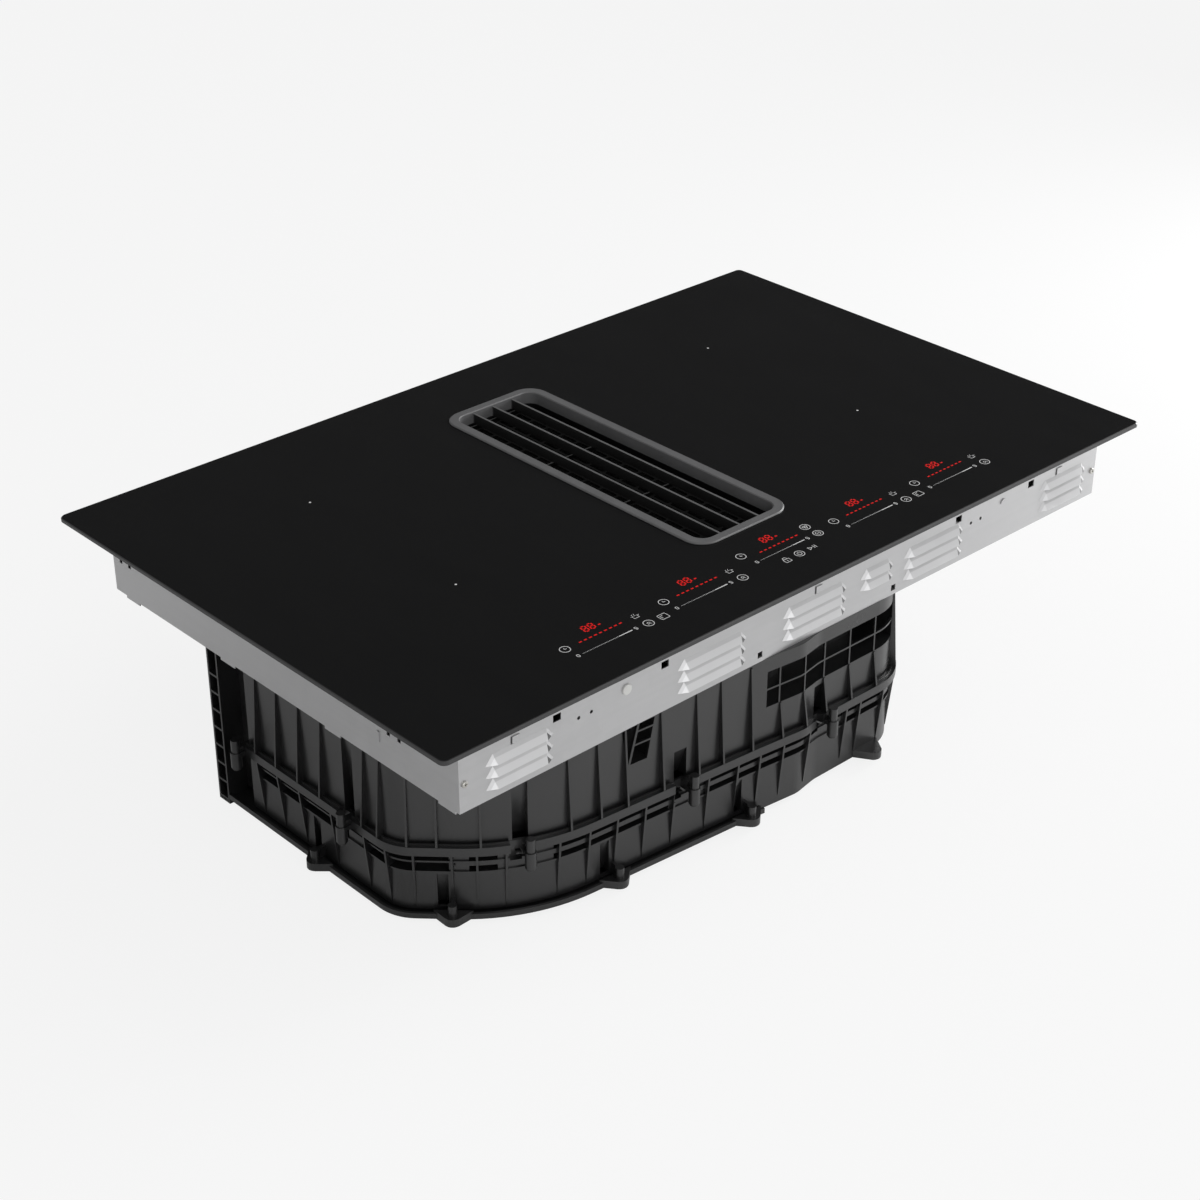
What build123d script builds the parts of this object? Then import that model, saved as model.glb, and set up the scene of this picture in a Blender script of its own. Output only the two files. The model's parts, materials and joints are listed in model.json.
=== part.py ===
from build123d import *
from math import atan2, cos, degrees, radians, sin
import os

# A downdraft induction cooktop: a black glass hob in a galvanised casing, with an air intake
# through the middle of the glass and a black moulded fan housing hanging under its left half.
#
# Frame: millimetres, +Z up, +X to the cook's right, -Y to the cook (the touch controls).
# The origin is the middle of the glass, in the plane of the worktop that the seal rests on.

os.makedirs("parts", exist_ok=True)

# ---------------------------------------------------------------- driving dimensions
# glass and what it rests on
glass_width = 830.0
glass_depth = 515.0
glass_thick = 4.0
glass_corner = 6.0
glass_bevel = 1.2
seal_thick = 1.0
seal_width = 9.0
seal_inset = 3.0
bond_thick = 0.8
bond_width = 7.0

# casing of folded sheet
casing_width = 767.2
casing_front = 235.0
casing_back = 227.0
casing_drop = 66.0
sheet = 1.0
fold_width = 12.0
pan_wall = 9.0

# louvres, holes and screws of the front panel
louvre_height = 8.5
louvre_pitch = 10.7
louvre_depth = 4.5
louvre_end = 9.0
louvre_top_lip = 35.5
louvre_groups = [(-358.0, -290.5, 3), (-158.4, -80.5, 3), (-37.4, 40.5, 3),
                 (57.8, 100.0, 2), (113.8, 192.7, 3), (301.2, 368.1, 3)]
square_hole = 8.0
square_hole_drop = 23.0
square_hole_x = [-286.5, -172.6, 185.7, 286.8]
small_square = 5.5
small_square_drop = 59.2
small_square_x = [-63.4, 102.0]
pair_hole = 3.2
pair_spacing = 13.2
pair_drop = 33.0
pair_x = [-257.7, 210.1]
plug_diameter = 9.5
plug_head = 1.6
plug_x = -214.2
plug_drop = 28.2
lance_width = 7.0
lance_height = 6.0
lance_rise = 1.0
lance_slot = 0.9
lance_x = [-328.4, 4.9, 327.2]
half_lance_x = 247.7
half_lance_diameter = 8.0
corner_screw_inset = 5.2
corner_screw_drop = 41.0
screw_shank = 3.0
screw_head = 5.6
screw_head_height = 1.8

# notches, emboss and bottom tabs of the side panels
side_slot_y = [209.5, -158.5]
side_slot_spacing = 13.0
side_slot_width = 4.0
side_slot_top = 22.0
side_slot_height = 14.0
tab_y = [202.5, 62.3, -79.5, -220.0]
tab_length = 20.0
tab_drop = 2.4
emboss_y = -139.9
emboss_drop = 42.0
emboss_width = 3.0
emboss_height = 9.0

# air slots and lead opening of the rear panel
rear_slot_count = 8
rear_slot_first = 180.0
rear_slot_pitch = 14.0
rear_slot_width = 5.0
rear_slot_top = 14.0
rear_slot_bottom = 40.0
lead_opening = 22.0

# intake: grille, collar, filter cassette and liquid basket
intake_y = 12.5
grille_width = 112.0
grille_length = 340.0
grille_corner = 20.0
grille_rim_thick = 1.6
grille_skirt_width = 98.0
grille_skirt_length = 327.0
grille_skirt_corner = 14.0
grille_wall = 2.5
grille_drop = 9.6
fin_count = 3
fin_thick = 2.0
lift_gap = 0.3
glass_hole_gap = 2.0
collar_gap = 1.5
collar_wall = 2.0
collar_flange = 10.0
collar_flange_thick = 2.0
collar_drop = 70.5
ledge_drop = 26.0
ledge_thick = 2.0
ledge_width = 3.5
basket_gap = 0.8
basket_ring = 3.0
basket_drop = 112.0
basket_tray_height = 22.0
basket_wall = 2.0
basket_post = 7.0
cassette_width = 77.0
cassette_length = 314.0
cassette_corner = 8.0
cassette_wall = 1.0
cassette_lip = 5.0
cassette_gap = 0.5
cross_bar_pitch = 101.0
cross_bar_thick = 1.2
cross_bar_height = 4.0
mesh_thick = 0.8
mesh_pitch = 3.8
mesh_sheets = 4
mesh_rows = 8
mesh_columns = 15
mesh_web = 2.4

# fan housing: three mouldings and their joint flanges
housing_left = 380.0
housing_front_left = 220.0
housing_front = 242.0
housing_right = 142.0
housing_back = 195.0
outlet_back = 100.0
step_x = -105.0
corner_cut = 78.6
housing_wall = 2.5
wall_inset = 6.5
joint_drop = 151.0
flange_thick = 4.0
lip_inset = 3.2
lip_width = 1.2
lip_height = 1.6
recess_length = 36.0
recess_depth = 20.0
slot_row_depth = 10.0
slot_row_bottom = 172.7
upper_shelf_drop = 162.7
side_shelf_thick = 1.6
front_shelf_thick = 4.3
shelf_inset = 5.0
rib_thick = 1.8
rib_top_reach = 1.0
rib_pitch = 31.0
lower_wall_drop = 211.0
cover_drop = 216.0
housing_floor = 2.5
cover_right = -57.0
boss_diameter = 9.6
boss_top_diameter = 7.6
boss_reach = 6.5
boss_up = 12.0
boss_down = 15.0
boss_web = 5.0
dent_width = 13.0
dent_shift = -5.0
dent_depth = 11.0
dent_top_depth = 0.5
notch_width = 10.0
notch_shift = -9.5
notch_depth = 5.0
notch_drop = 165.0
lobe_diameter = 15.0
lobe_base = 32.0
lobe_taper = 0.36
lobe_reach = 3.5
lobe_top_drop = 208.7
post_diameter = 7.6
post_height = 9.0
niche_width = 9.0
niche_shift = -8.0
niche_depth = 8.0
niche_top_depth = 0.5
hook_width = 4.0
hook_height = 1.4
hook_drop = 1.2
hook_shift = 2.0
foot_x = 77.0
housing_screw_shank = 4.0
housing_screw_head = 7.6
housing_screw_head_height = 2.4
gasket_width = 1.6
gasket_inset = 6.9
gasket_depth = 1.2

# lattice windows of the upper housing
window_top = 79.5
window_bottom = 114.0
window_left = -54.0
window_right = 112.0
window_depth = 34.0
window_bar = 1.6
window_bar_depth = 2.0
slant_bar_depth = 2.5
window_bar_x = [-40.0, -11.0, 17.0, 49.0, 81.0]
slant_window_left = -207.0
slant_window_right = -171.0
slant_window_lean = 7.5
slant_window_foot = 6.0
slant_window_top = 76.0
slant_window_bottom = 112.5
slant_bar_top = -190.5
slant_bar_bottom = -200.0
slant_bar_thick = 2.2
slant_cross_drops = [83.5, 95.5]

# air outlet at the back of the fan housing
outlet_frame_width = 250.0
outlet_frame_depth = 15.0
outlet_frame_bottom = 221.0
outlet_plate = 2.0
duct_width = 200.0
duct_height = 89.0
duct_x = -255.0
duct_wall = 2.0
outlet_rib_pitch = 17.6
outlet_rib_top = 94.0
outlet_rib_count = 8
outlet_columns = 10
outlet_column_thick = 1.6
outlet_margin = 4.0

# fan: scroll, impeller and motor
fan_x = -225.0
fan_y = -75.0
scroll_plate_drop = 118.0
scroll_wall = 2.0
scroll_tongue = 101.0
scroll_reach = 130.0
impeller_diameter = 186.0
impeller_height = 62.0
impeller_bottom = 198.0
blade_count = 36
blade_depth = 15.0
blade_thick = 1.2
inlet_bore = 148.0
rotor_diameter = 94.0
rotor_height = 38.0
rotor_wall = 1.5
shaft_diameter = 8.0
shaft_clearance = 0.05
bearing_diameter = 22.0
bearing_height = 7.0
stator_diameter = 86.0
stator_height = 20.0
damper_height = 6.0
damper_diameter = 14.0
motor_plate = 3.0
motor_plate_diameter = 112.0
motor_bolt_circle = 92.0

# induction zones
zone_x = 242.5
zone_y = [132.0, -64.0]
coil_diameter = 178.0
coil_bore = 46.0
coil_height = 4.5
coil_gap = 3.4
carrier_thick = 2.5
carrier_diameter = 188.0
ferrite_length = 58.0
ferrite_width = 14.0
ferrite_thick = 4.5
ferrite_count = 8
sensor_diameter = 10.0
coil_plate_thick = 1.5
coil_plate_inner = 62.0
coil_plate_front = -172.0
post_across = 8.0

# electronics
standoff_height = 6.0
board_thick = 1.6
power_board_x = 225.0
power_board_width = 270.0
power_board_depth = 170.0
power_board_y = -60.0
sink_width = 60.0
sink_length = 150.0
sink_height = 30.0
sink_fin_count = 9
blower_size = 80.0
blower_height = 26.0
blower_y = 176.0
blower_x = 222.0
blower_inlet = 50.0
blower_rotor = 58.0
blower_blades = 24
spindle_diameter = 4.0
spindle_clearance = 0.05
control_width = 540.0
control_depth = 40.0
control_y = -198.0
display_width = 26.0
display_depth = 14.0
display_height = 4.5
display_x = [-206.0, -101.0, 0.0, 101.0, 206.0]
display_y = -189.5
terminal_width = 64.0
terminal_depth = 28.0
terminal_height = 26.0
terminal_x = 305.0
filter_board_width = 90.0
filter_board_depth = 60.0

# ---------------------------------------------------------------- levels and places
glass_bottom = seal_thick
glass_top = glass_bottom + glass_thick
casing_top = glass_bottom - bond_thick
side_x = casing_width / 2
pan_top = sheet - casing_drop
joint_z = -joint_drop
roof_top = -casing_drop
roof_bottom = roof_top - housing_wall
cover_bottom = -cover_drop
cover_top = cover_bottom + housing_floor
scroll_top = -scroll_plate_drop
rim_bottom = glass_top + lift_gap
grille_bottom = glass_top - grille_drop
ring_bottom = -ledge_drop + lift_gap
ring_top = ring_bottom + basket_ring
cassette_bottom = ring_top + lift_gap
cassette_top = grille_bottom - cassette_gap
hole_width = grille_skirt_width + 2 * glass_hole_gap
hole_length = grille_skirt_length + 2 * glass_hole_gap
collar_inner_width = grille_skirt_width + 2 * collar_gap
collar_inner_length = grille_skirt_length + 2 * collar_gap
collar_outer_width = collar_inner_width + 2 * collar_wall
collar_outer_length = collar_inner_length + 2 * collar_wall


# ---------------------------------------------------------------- helpers
def block(x0, x1, y0, y1, z0, z1):
    """A box between two corners."""
    middle = Pos((x0 + x1) / 2, (y0 + y1) / 2, (z0 + z1) / 2)
    return middle * Box(x1 - x0, y1 - y0, z1 - z0)


def rod(x, y, z0, z1, diameter):
    """An upright cylinder."""
    return Pos(x, y, (z0 + z1) / 2) * Cylinder(diameter / 2, z1 - z0)


def rod_y(x, z, y0, y1, diameter):
    """A cylinder along Y."""
    return Pos(x, (y0 + y1) / 2, z) * Rot(90, 0, 0) * Cylinder(diameter / 2, y1 - y0)


def slab(width, length, corner, z0, z1, x=0.0, y=0.0):
    """A plate with rounded corners."""
    return extrude(Pos(x, y, z0) * RectangleRounded(width, length, corner), z1 - z0)


def frame_ring(width, length, corner, band, z0, z1, y=0.0):
    """A flat ring between a rounded rectangle and the same one a band further in."""
    inner_corner = max(corner - band, 0.5)
    outer = slab(width, length, corner, z0, z1, y=y)
    return outer - slab(width - 2 * band, length - 2 * band, inner_corner, z0, z1, y=y)


def polyhedron(corners, faces):
    """A closed solid from corner points and the corners of each flat face."""
    sides = [Face(Wire.make_polygon([corners[i] for i in face])) for face in faces]
    return Part() + Solid(Shell(sides))


def screw(place, shank, length, head, head_height):
    """A pan-head screw whose head seats at the place's origin and whose shank points along -Z."""
    head_solid = Pos(0, 0, head_height / 2) * Cylinder(head / 2, head_height)
    head_edge = head_solid.faces().sort_by(Axis.Z)[-1].edges()
    head_solid = fillet(head_edge, head_height * 0.45)
    recess = Pos(0, 0, head_height) * Box(head * 0.5, head * 0.12, head_height)
    recess += Pos(0, 0, head_height) * Box(head * 0.12, head * 0.5, head_height)
    shank_solid = Pos(0, 0, -length / 2) * Cylinder(shank / 2, length)
    return place * (head_solid - recess + shank_solid)


def save(name, *solids):
    """Writes one named sub-part, as one solid or as a group of separate ones."""
    shape = solids[0] if len(solids) == 1 else Compound(children=list(solids))
    export_step(shape, f"parts/{name}.step")


# ---------------------------------------------------------------- glass, seal and bond
def make_glass():
    glass = slab(glass_width, glass_depth, glass_corner, glass_bottom, glass_top)
    top_edges = glass.faces().sort_by(Axis.Z)[-1].outer_wire().edges()
    glass = chamfer(top_edges, glass_bevel)
    hole = slab(hole_width, hole_length, grille_skirt_corner, glass_bottom, glass_top, y=intake_y)
    return glass - hole


def make_seal():
    width = glass_width - 2 * seal_inset
    depth = glass_depth - 2 * seal_inset
    return frame_ring(width, depth, glass_corner, seal_width, 0, seal_thick)


def make_bond():
    """The silicone beads that carry the casing and the intake collar on the glass."""
    middle_y = (casing_back - casing_front) / 2
    width = casing_width - 2 * sheet
    depth = casing_front + casing_back - 2 * sheet
    casing_bead = frame_ring(width, depth, 3.0, bond_width, casing_top, glass_bottom, y=middle_y)
    collar_width = collar_outer_width + 2 * collar_flange
    collar_length = collar_outer_length + 2 * collar_flange
    corner = grille_skirt_corner + collar_flange
    collar_bead = frame_ring(collar_width, collar_length, corner, bond_width,
                             casing_top, glass_bottom, y=intake_y)
    return casing_bead, collar_bead


# ---------------------------------------------------------------- casing
def louvre(x0, x1, lip_z, y_shift):
    """The solid wedge of one pressed louvre; its back lies in the panel's face."""
    face_y = -casing_front + y_shift
    out_y = face_y - louvre_depth
    top_z = lip_z + louvre_height
    top_end = 0.8 * louvre_end
    corners = [(x0, face_y, lip_z), (x0 + louvre_end, out_y, lip_z),
               (x1 - louvre_end, out_y, lip_z), (x1, face_y, lip_z),
               (x0 + top_end, face_y, top_z), (x1 - top_end, face_y, top_z)]
    faces = [(0, 3, 2, 1), (0, 4, 5, 3), (1, 2, 5, 4), (0, 1, 4), (2, 3, 5)]
    return polyhedron(corners, faces)


def make_front_panel():
    front_y = -casing_front
    back_y = front_y + sheet
    panel = block(-side_x, side_x, front_y, back_y, -casing_drop, casing_top)
    fold_x = side_x - sheet
    panel += block(-fold_x, fold_x, front_y, front_y + fold_width, casing_top - sheet, casing_top)
    hoods = []
    hollows = []
    for x0, x1, rows in louvre_groups:
        for row in range(rows):
            lip_z = -louvre_top_lip - row * louvre_pitch
            hoods.append(louvre(x0, x1, lip_z, 0))
            hollows.append(louvre(x0, x1, lip_z, sheet))
    panel = panel + hoods - hollows
    holes = []
    for x in square_hole_x:
        z = -square_hole_drop
        holes.append(block(x - square_hole / 2, x + square_hole / 2, front_y, back_y,
                           z - square_hole * 0.4, z + square_hole * 0.4))
    for x in small_square_x:
        z = -small_square_drop
        holes.append(block(x - small_square / 2, x + small_square / 2, front_y, back_y,
                           z - small_square / 2, z + small_square / 2))
    for x in pair_x:
        for side in (-1, 1):
            holes.append(rod_y(x + side * pair_spacing / 2, -pair_drop, front_y, back_y, pair_hole))
    holes.append(rod_y(plug_x, -plug_drop, front_y, back_y, plug_diameter * 0.6))
    for side in (-1, 1):
        x = side * (side_x - corner_screw_inset)
        holes.append(rod_y(x, -corner_screw_drop, front_y, back_y, screw_shank))
    for x in lance_x:
        z = -square_hole_drop
        half = lance_width / 2
        slot = block(x - half - lance_slot, x + half + lance_slot, front_y, back_y,
                     z - lance_height / 2 - lance_slot, z + lance_height / 2)
        holes.append(slot - block(x - half, x + half, front_y, back_y,
                                  z - lance_height / 2, z + lance_height / 2))
    panel -= holes
    lances = []
    for x in lance_x:
        z = -square_hole_drop
        lances.append(block(x - lance_width / 2, x + lance_width / 2, front_y - lance_rise,
                            front_y, z - lance_height / 2, z + lance_height / 2))
    half_round = rod_y(half_lance_x, -plug_drop, front_y - lance_rise, front_y, half_lance_diameter)
    below = block(half_lance_x - half_lance_diameter, half_lance_x + half_lance_diameter,
                  front_y - lance_rise, front_y, -plug_drop - half_lance_diameter, -plug_drop)
    lances.append(half_round - below)
    return panel + lances


def make_side_panel(side):
    """Side is -1 for the left panel and +1 for the right one."""
    def span(inset0, inset1, y0, y1, z0, z1):
        x0 = side * (side_x - inset0)
        x1 = side * (side_x - inset1)
        return block(min(x0, x1), max(x0, x1), y0, y1, z0, z1)

    front_y = -casing_front + sheet
    pan_rise = pan_top + pan_wall
    panel = span(0, sheet, front_y, casing_back, -casing_drop, casing_top)
    top_front = -casing_front + fold_width + lift_gap
    panel += span(0, fold_width, top_front, casing_back, casing_top - sheet, casing_top)
    fold_top = casing_top - sheet - lift_gap
    panel += span(0, fold_width, front_y, front_y + sheet, pan_rise + lift_gap, fold_top)
    panel += span(0, fold_width, casing_back - sheet, casing_back, pan_rise + lift_gap, casing_top)
    for y in tab_y:
        panel += span(0, sheet, y - tab_length / 2, y + tab_length / 2,
                      -casing_drop - tab_drop, -casing_drop)
    slots = []
    for y in side_slot_y:
        for step in (-0.5, 0.5):
            middle = y + step * side_slot_spacing
            slots.append(span(0, sheet, middle - side_slot_width / 2, middle + side_slot_width / 2,
                              -side_slot_top - side_slot_height, -side_slot_top))
    panel -= slots
    panel += span(-lance_rise, 0, emboss_y - emboss_width / 2, emboss_y + emboss_width / 2,
                  -emboss_drop - emboss_height / 2, -emboss_drop + emboss_height / 2)
    screw_x = side * (side_x - corner_screw_inset)
    panel -= rod_y(screw_x, -corner_screw_drop, front_y, front_y + sheet, screw_shank)
    panel -= rod_y(screw_x, -corner_screw_drop, casing_back - sheet, casing_back, screw_shank)
    return panel


def make_rear_panel():
    """Lies on the side panels' rear folds, with air slots and the opening for the mains lead."""
    y0 = casing_back
    y1 = casing_back + sheet
    fold_x = side_x - fold_width - lift_gap
    panel = block(-side_x, side_x, y0, y1, -casing_drop, casing_top)
    panel += block(-fold_x, fold_x, y0 - fold_width, y0, casing_top - sheet, casing_top)
    slots = []
    for group in (-1, 1):
        for column in range(rear_slot_count):
            x = group * (rear_slot_first + column * rear_slot_pitch)
            slots.append(block(x - rear_slot_width / 2, x + rear_slot_width / 2, y0, y1,
                               -rear_slot_bottom, -rear_slot_top))
    slots.append(rod_y(terminal_x, -terminal_height, y0, y1, lead_opening))
    for side in (-1, 1):
        x = side * (side_x - corner_screw_inset)
        slots.append(rod_y(x, -corner_screw_drop, y0, y1, screw_shank))
    return panel - slots


def make_floor_pan():
    """The tray under the electronics, with the well for the intake and the blower inlets."""
    x1 = side_x - sheet
    y0 = -casing_front + sheet
    y1 = casing_back
    pan = block(-x1, x1, y0, y1, -casing_drop, pan_top + pan_wall)
    pan -= block(-x1 + sheet, x1 - sheet, y0 + sheet, y1 - sheet, pan_top, pan_top + pan_wall)
    cuts = [slab(collar_outer_width + 2 * collar_gap, collar_outer_length + 2 * collar_gap,
                 grille_skirt_corner, -casing_drop, pan_top, y=intake_y)]
    for side in (-1, 1):
        for turn in range(12):
            angle = 30 * turn
            spoke = Pos(side * blower_x, blower_y, 0) * Rot(0, 0, angle)
            cuts.append(spoke * Pos(16, 0, pan_top - sheet / 2) * Box(14, 4, sheet))
    for row in range(3):
        for column in range(6):
            x = 190 + column * 24
            y = -190 + row * 14
            cuts.append(block(x - 8, x + 8, y - 2, y + 2, -casing_drop, pan_top))
    for x in small_square_x:
        half = small_square / 2 + lift_gap
        cuts.append(block(x - half, x + half, y0, y0 + sheet, -small_square_drop - half,
                          pan_top + pan_wall))
    for x, y in bolt_places:
        cuts.append(rod(x, y, -casing_drop, pan_top, housing_screw_shank))
    return pan - cuts


def make_casing_screws():
    """Four screws that hold the front and rear panels on the side panels' folds."""
    screws = []
    for side in (-1, 1):
        x = side * (side_x - corner_screw_inset)
        front = Pos(x, -casing_front, -corner_screw_drop) * Rot(90, 0, 0)
        rear = Pos(x, casing_back + sheet, -corner_screw_drop) * Rot(-90, 0, 0)
        for place in (front, rear):
            screws.append(screw(place, screw_shank, 2 * sheet + 4, screw_head, screw_head_height))
    return screws


def make_panel_plug():
    """The white nylon plug that closes a spare hole of the front panel."""
    face_y = -casing_front
    plug = rod_y(plug_x, -plug_drop, face_y - plug_head, face_y, plug_diameter)
    plug = fillet(plug.faces().sort_by(Axis.Y)[0].edges(), plug_head * 0.6)
    return plug + rod_y(plug_x, -plug_drop, face_y, face_y + 3 * sheet, plug_diameter * 0.6)


# ---------------------------------------------------------------- intake
def make_grille():
    rim = slab(grille_width, grille_length, grille_corner, rim_bottom,
               rim_bottom + grille_rim_thick, y=intake_y)
    rim = chamfer(rim.faces().sort_by(Axis.Z)[-1].outer_wire().edges(), grille_rim_thick * 0.6)
    skirt = slab(grille_skirt_width, grille_skirt_length, grille_skirt_corner, grille_bottom,
                 rim_bottom, y=intake_y)
    inner_width = grille_skirt_width - 2 * grille_wall
    inner_length = grille_skirt_length - 2 * grille_wall
    inner_corner = grille_skirt_corner - grille_wall
    mouth = slab(inner_width, inner_length, inner_corner, grille_bottom,
                 rim_bottom + grille_rim_thick, y=intake_y)
    grille = rim + skirt - mouth
    mouth_edges = grille.faces().sort_by(Axis.Z)[-1].inner_wires()[0].edges()
    grille = chamfer(mouth_edges, grille_rim_thick * 0.5)
    pitch = inner_width / (fin_count + 1)
    half_length = inner_length / 2 + grille_wall / 2
    for number in range(fin_count):
        x = (number - (fin_count - 1) / 2) * pitch
        grille += block(x - fin_thick / 2, x + fin_thick / 2, intake_y - half_length,
                        intake_y + half_length, grille_bottom, glass_top)
    return grille


def make_collar():
    """The black funnel from the glass down into the fan housing, with the basket's ledge."""
    top = casing_top
    flange_width = collar_outer_width + 2 * collar_flange
    flange_length = collar_outer_length + 2 * collar_flange
    corner = grille_skirt_corner + collar_wall
    collar = slab(flange_width, flange_length, corner + collar_flange,
                  top - collar_flange_thick, top, y=intake_y)
    collar += slab(collar_outer_width, collar_outer_length, corner, -collar_drop, top, y=intake_y)
    bore = slab(collar_inner_width, collar_inner_length, grille_skirt_corner,
                -collar_drop, top, y=intake_y)
    ledge = frame_ring(collar_inner_width + collar_wall, collar_inner_length + collar_wall,
                       grille_skirt_corner, ledge_width + collar_wall / 2,
                       -ledge_drop - ledge_thick, -ledge_drop, y=intake_y)
    return collar - bore + ledge


def make_filter_frame():
    """The stainless frame of the grease filter, with two cross bars in its mouth."""
    cassette = slab(cassette_width, cassette_length, cassette_corner, cassette_bottom,
                    cassette_top, y=intake_y)
    cassette -= slab(cassette_width - 2 * cassette_wall, cassette_length - 2 * cassette_wall,
                     cassette_corner - cassette_wall, cassette_bottom + cassette_wall,
                     cassette_top, y=intake_y)
    cassette -= slab(cassette_width - 2 * cassette_lip, cassette_length - 2 * cassette_lip,
                     cassette_corner - cassette_wall, cassette_bottom,
                     cassette_bottom + cassette_wall, y=intake_y)
    half_width = (cassette_width - cassette_wall) / 2
    for side in (-1, 1):
        y = intake_y + side * cross_bar_pitch / 2
        cassette += block(-half_width, half_width, y - cross_bar_thick / 2,
                          y + cross_bar_thick / 2, cassette_top - cross_bar_height, cassette_top)
    return cassette


def make_filter_mesh():
    """The pack of slotted mesh sheets inside the frame, each turned end for end."""
    width = cassette_width - 2 * cassette_wall - lift_gap
    length = cassette_length - 2 * cassette_wall - lift_gap
    pitch_x = width / mesh_rows
    pitch_y = length / mesh_columns
    slot = RectangleRounded(pitch_x - mesh_web, pitch_y - mesh_web, 2.0)
    mesh = RectangleRounded(width, length, cassette_corner - cassette_wall)
    holes = []
    for row in range(mesh_rows):
        for column in range(mesh_columns):
            x = (row - (mesh_rows - 1) / 2) * pitch_x
            y = (column - (mesh_columns - 1) / 2) * pitch_y
            holes.append(Pos(x, y) * slot)
    sheet_plan = mesh - holes
    lowest = cassette_bottom + cassette_wall
    sheets = []
    for number in range(mesh_sheets):
        z = lowest + number * mesh_pitch
        sheets.append(extrude(Pos(0, intake_y, z) * sheet_plan, mesh_thick))
    return sheets


def make_basket():
    """The lift-out basket: a ring that hangs on the collar's ledge, posts and a liquid tray."""
    ring_width = collar_inner_width - 2 * basket_gap
    ring_length = collar_inner_length - 2 * basket_gap
    body_width = collar_inner_width - 2 * ledge_width - 2 * basket_gap
    body_length = collar_inner_length - 2 * ledge_width - 2 * basket_gap
    corner = grille_skirt_corner - ledge_width
    ring_corner = grille_skirt_corner - basket_gap
    seat = cassette_width - 2 * cassette_lip
    seat_length = cassette_length - 2 * cassette_lip
    ring = slab(ring_width, ring_length, ring_corner, ring_bottom, ring_top, y=intake_y)
    ring -= slab(seat, seat_length, corner - basket_wall, ring_bottom, ring_top, y=intake_y)
    tray_top = -basket_drop + basket_tray_height
    tray = slab(body_width, body_length, corner, -basket_drop, tray_top, y=intake_y)
    tray -= slab(body_width - 2 * basket_wall, body_length - 2 * basket_wall,
                 corner - basket_wall, -basket_drop + basket_wall, tray_top, y=intake_y)
    posts = []
    for side_along in (-1, 0, 1):
        for side_across in (-1, 1):
            x = side_across * (body_width / 2 - basket_wall / 2)
            y = intake_y + side_along * (body_length / 2 - corner - basket_post / 2)
            posts.append(block(x - basket_wall / 2, x + basket_wall / 2, y - basket_post / 2,
                               y + basket_post / 2, tray_top - basket_wall, ring_bottom))
    return ring + tray + posts


# ---------------------------------------------------------------- fan housing outline
outlet_mid = outlet_back - outlet_frame_depth / 2
outline_corners = [(-housing_left, outlet_mid, 2.0),
                   (-housing_left, -housing_front_left + corner_cut, 42.0),
                   (corner_cut - housing_left, -housing_front_left, 170.0),
                   (-70.0, -housing_front + 1.5, 60.0),
                   (-15.0, -housing_front - 4.5, 36.0),
                   (11.0, -housing_front, 36.0),
                   (housing_right, -housing_front, 57.0),
                   (housing_right, housing_back, 30.0),
                   (step_x, housing_back, 20.0),
                   (step_x, outlet_mid, 12.0)]
housing_path = FilletPolyline(*[(x, y) for x, y, radius in outline_corners],
                              radius=[radius for x, y, radius in outline_corners], close=True)
housing_plan = make_face(housing_path)


def whole_prism(inset, z0, z1):
    """The housing's plan, drawn in by an inset, as a solid between two levels."""
    plan = offset(housing_plan, amount=-inset) if inset else housing_plan
    return extrude(Pos(0, 0, z0) * plan, z1 - z0)


def prism(inset, z0, z1):
    """The same solid without the recess beside the air outlet."""
    grow = max(inset - wall_inset, 0)
    recess_x = -housing_left + recess_depth + grow
    recess_y = outlet_mid - recess_length - grow
    recess = block(-housing_left - 1, recess_x, recess_y, outlet_mid + 1, z0, z1)
    return whole_prism(inset, z0, z1) - recess


def band(inset_out, inset_in, z0, z1):
    """A wall or flange that follows the housing's plan."""
    return prism(inset_out, z0, z1) - prism(inset_in, z0, z1)


def spot_near(x, y):
    """The spot on the joint flange's outer edge nearest to a place outside it."""
    point = housing_path.distance_to_with_closest_points(Vertex(x, y, 0))[1]
    return point, (Vector(x, y) - point).normalized()


def spot_beside(spot, shift):
    """A spot further along the outline; to the right, seen from outside, is positive."""
    point, outward = spot
    moved = point + Vector(-outward.Y, outward.X) * shift
    return spot_near(moved.X + 5 * outward.X, moved.Y + 5 * outward.Y)


# screws of the mid joint and of the bottom cover, as spots on the flange's edge
boss_spots = [spot_near(x, y) for x, y in
              [(-386, 58), (-386, -87), (-297, -212), (-142, -240), (17, -250),
               (148, -120), (148, 40), (148, 150), (60, 200), (-60, 200)]]
lobe_spots = [spot_near(x, y) for x, y in
              [(-386, -43), (-352, -181), (-217, -234), (-76, -250), (-75, 200)]]
# thin ribs of the walls; the right and back walls have them at an even pitch
side_ribs = [(148, -180 + number * rib_pitch) for number in range(12)]
back_ribs = [(110 - number * rib_pitch, 200) for number in range(7)]
upper_rib_spots = [spot_near(x, y) for x, y in
                   [(-386, 40), (-386, 11), (-386, -19), (-386, -49), (-386, -104),
                    (-386, -124), (-378, -156), (-364, -177), (-337, -202), (-262, -230),
                    (-232, -233), (-205, -236), (-168, -240), (-131, -244), (-105, -246),
                    (-73, -248), *[(x, -250) for x in window_bar_x], (125, -240)]
                   + side_ribs + back_ribs]
lower_rib_spots = [spot_near(x, y) for x, y in
                   [(-386, 40), (-386, 11), (-386, -19), (-386, -62), (-386, -105),
                    (-386, -133), (-374, -160), (-352, -181), (-336, -195), (-315, -208),
                    (-272, -226), (-243, -230), (-215, -232), (-186, -236), (-156, -240),
                    (-120, -246), (-88, -248), (-64, -250), (-38, -250), (-4, -252),
                    (44, -250), (62, -250), (94, -250), (125, -240)]
                   + side_ribs + back_ribs]
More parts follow.
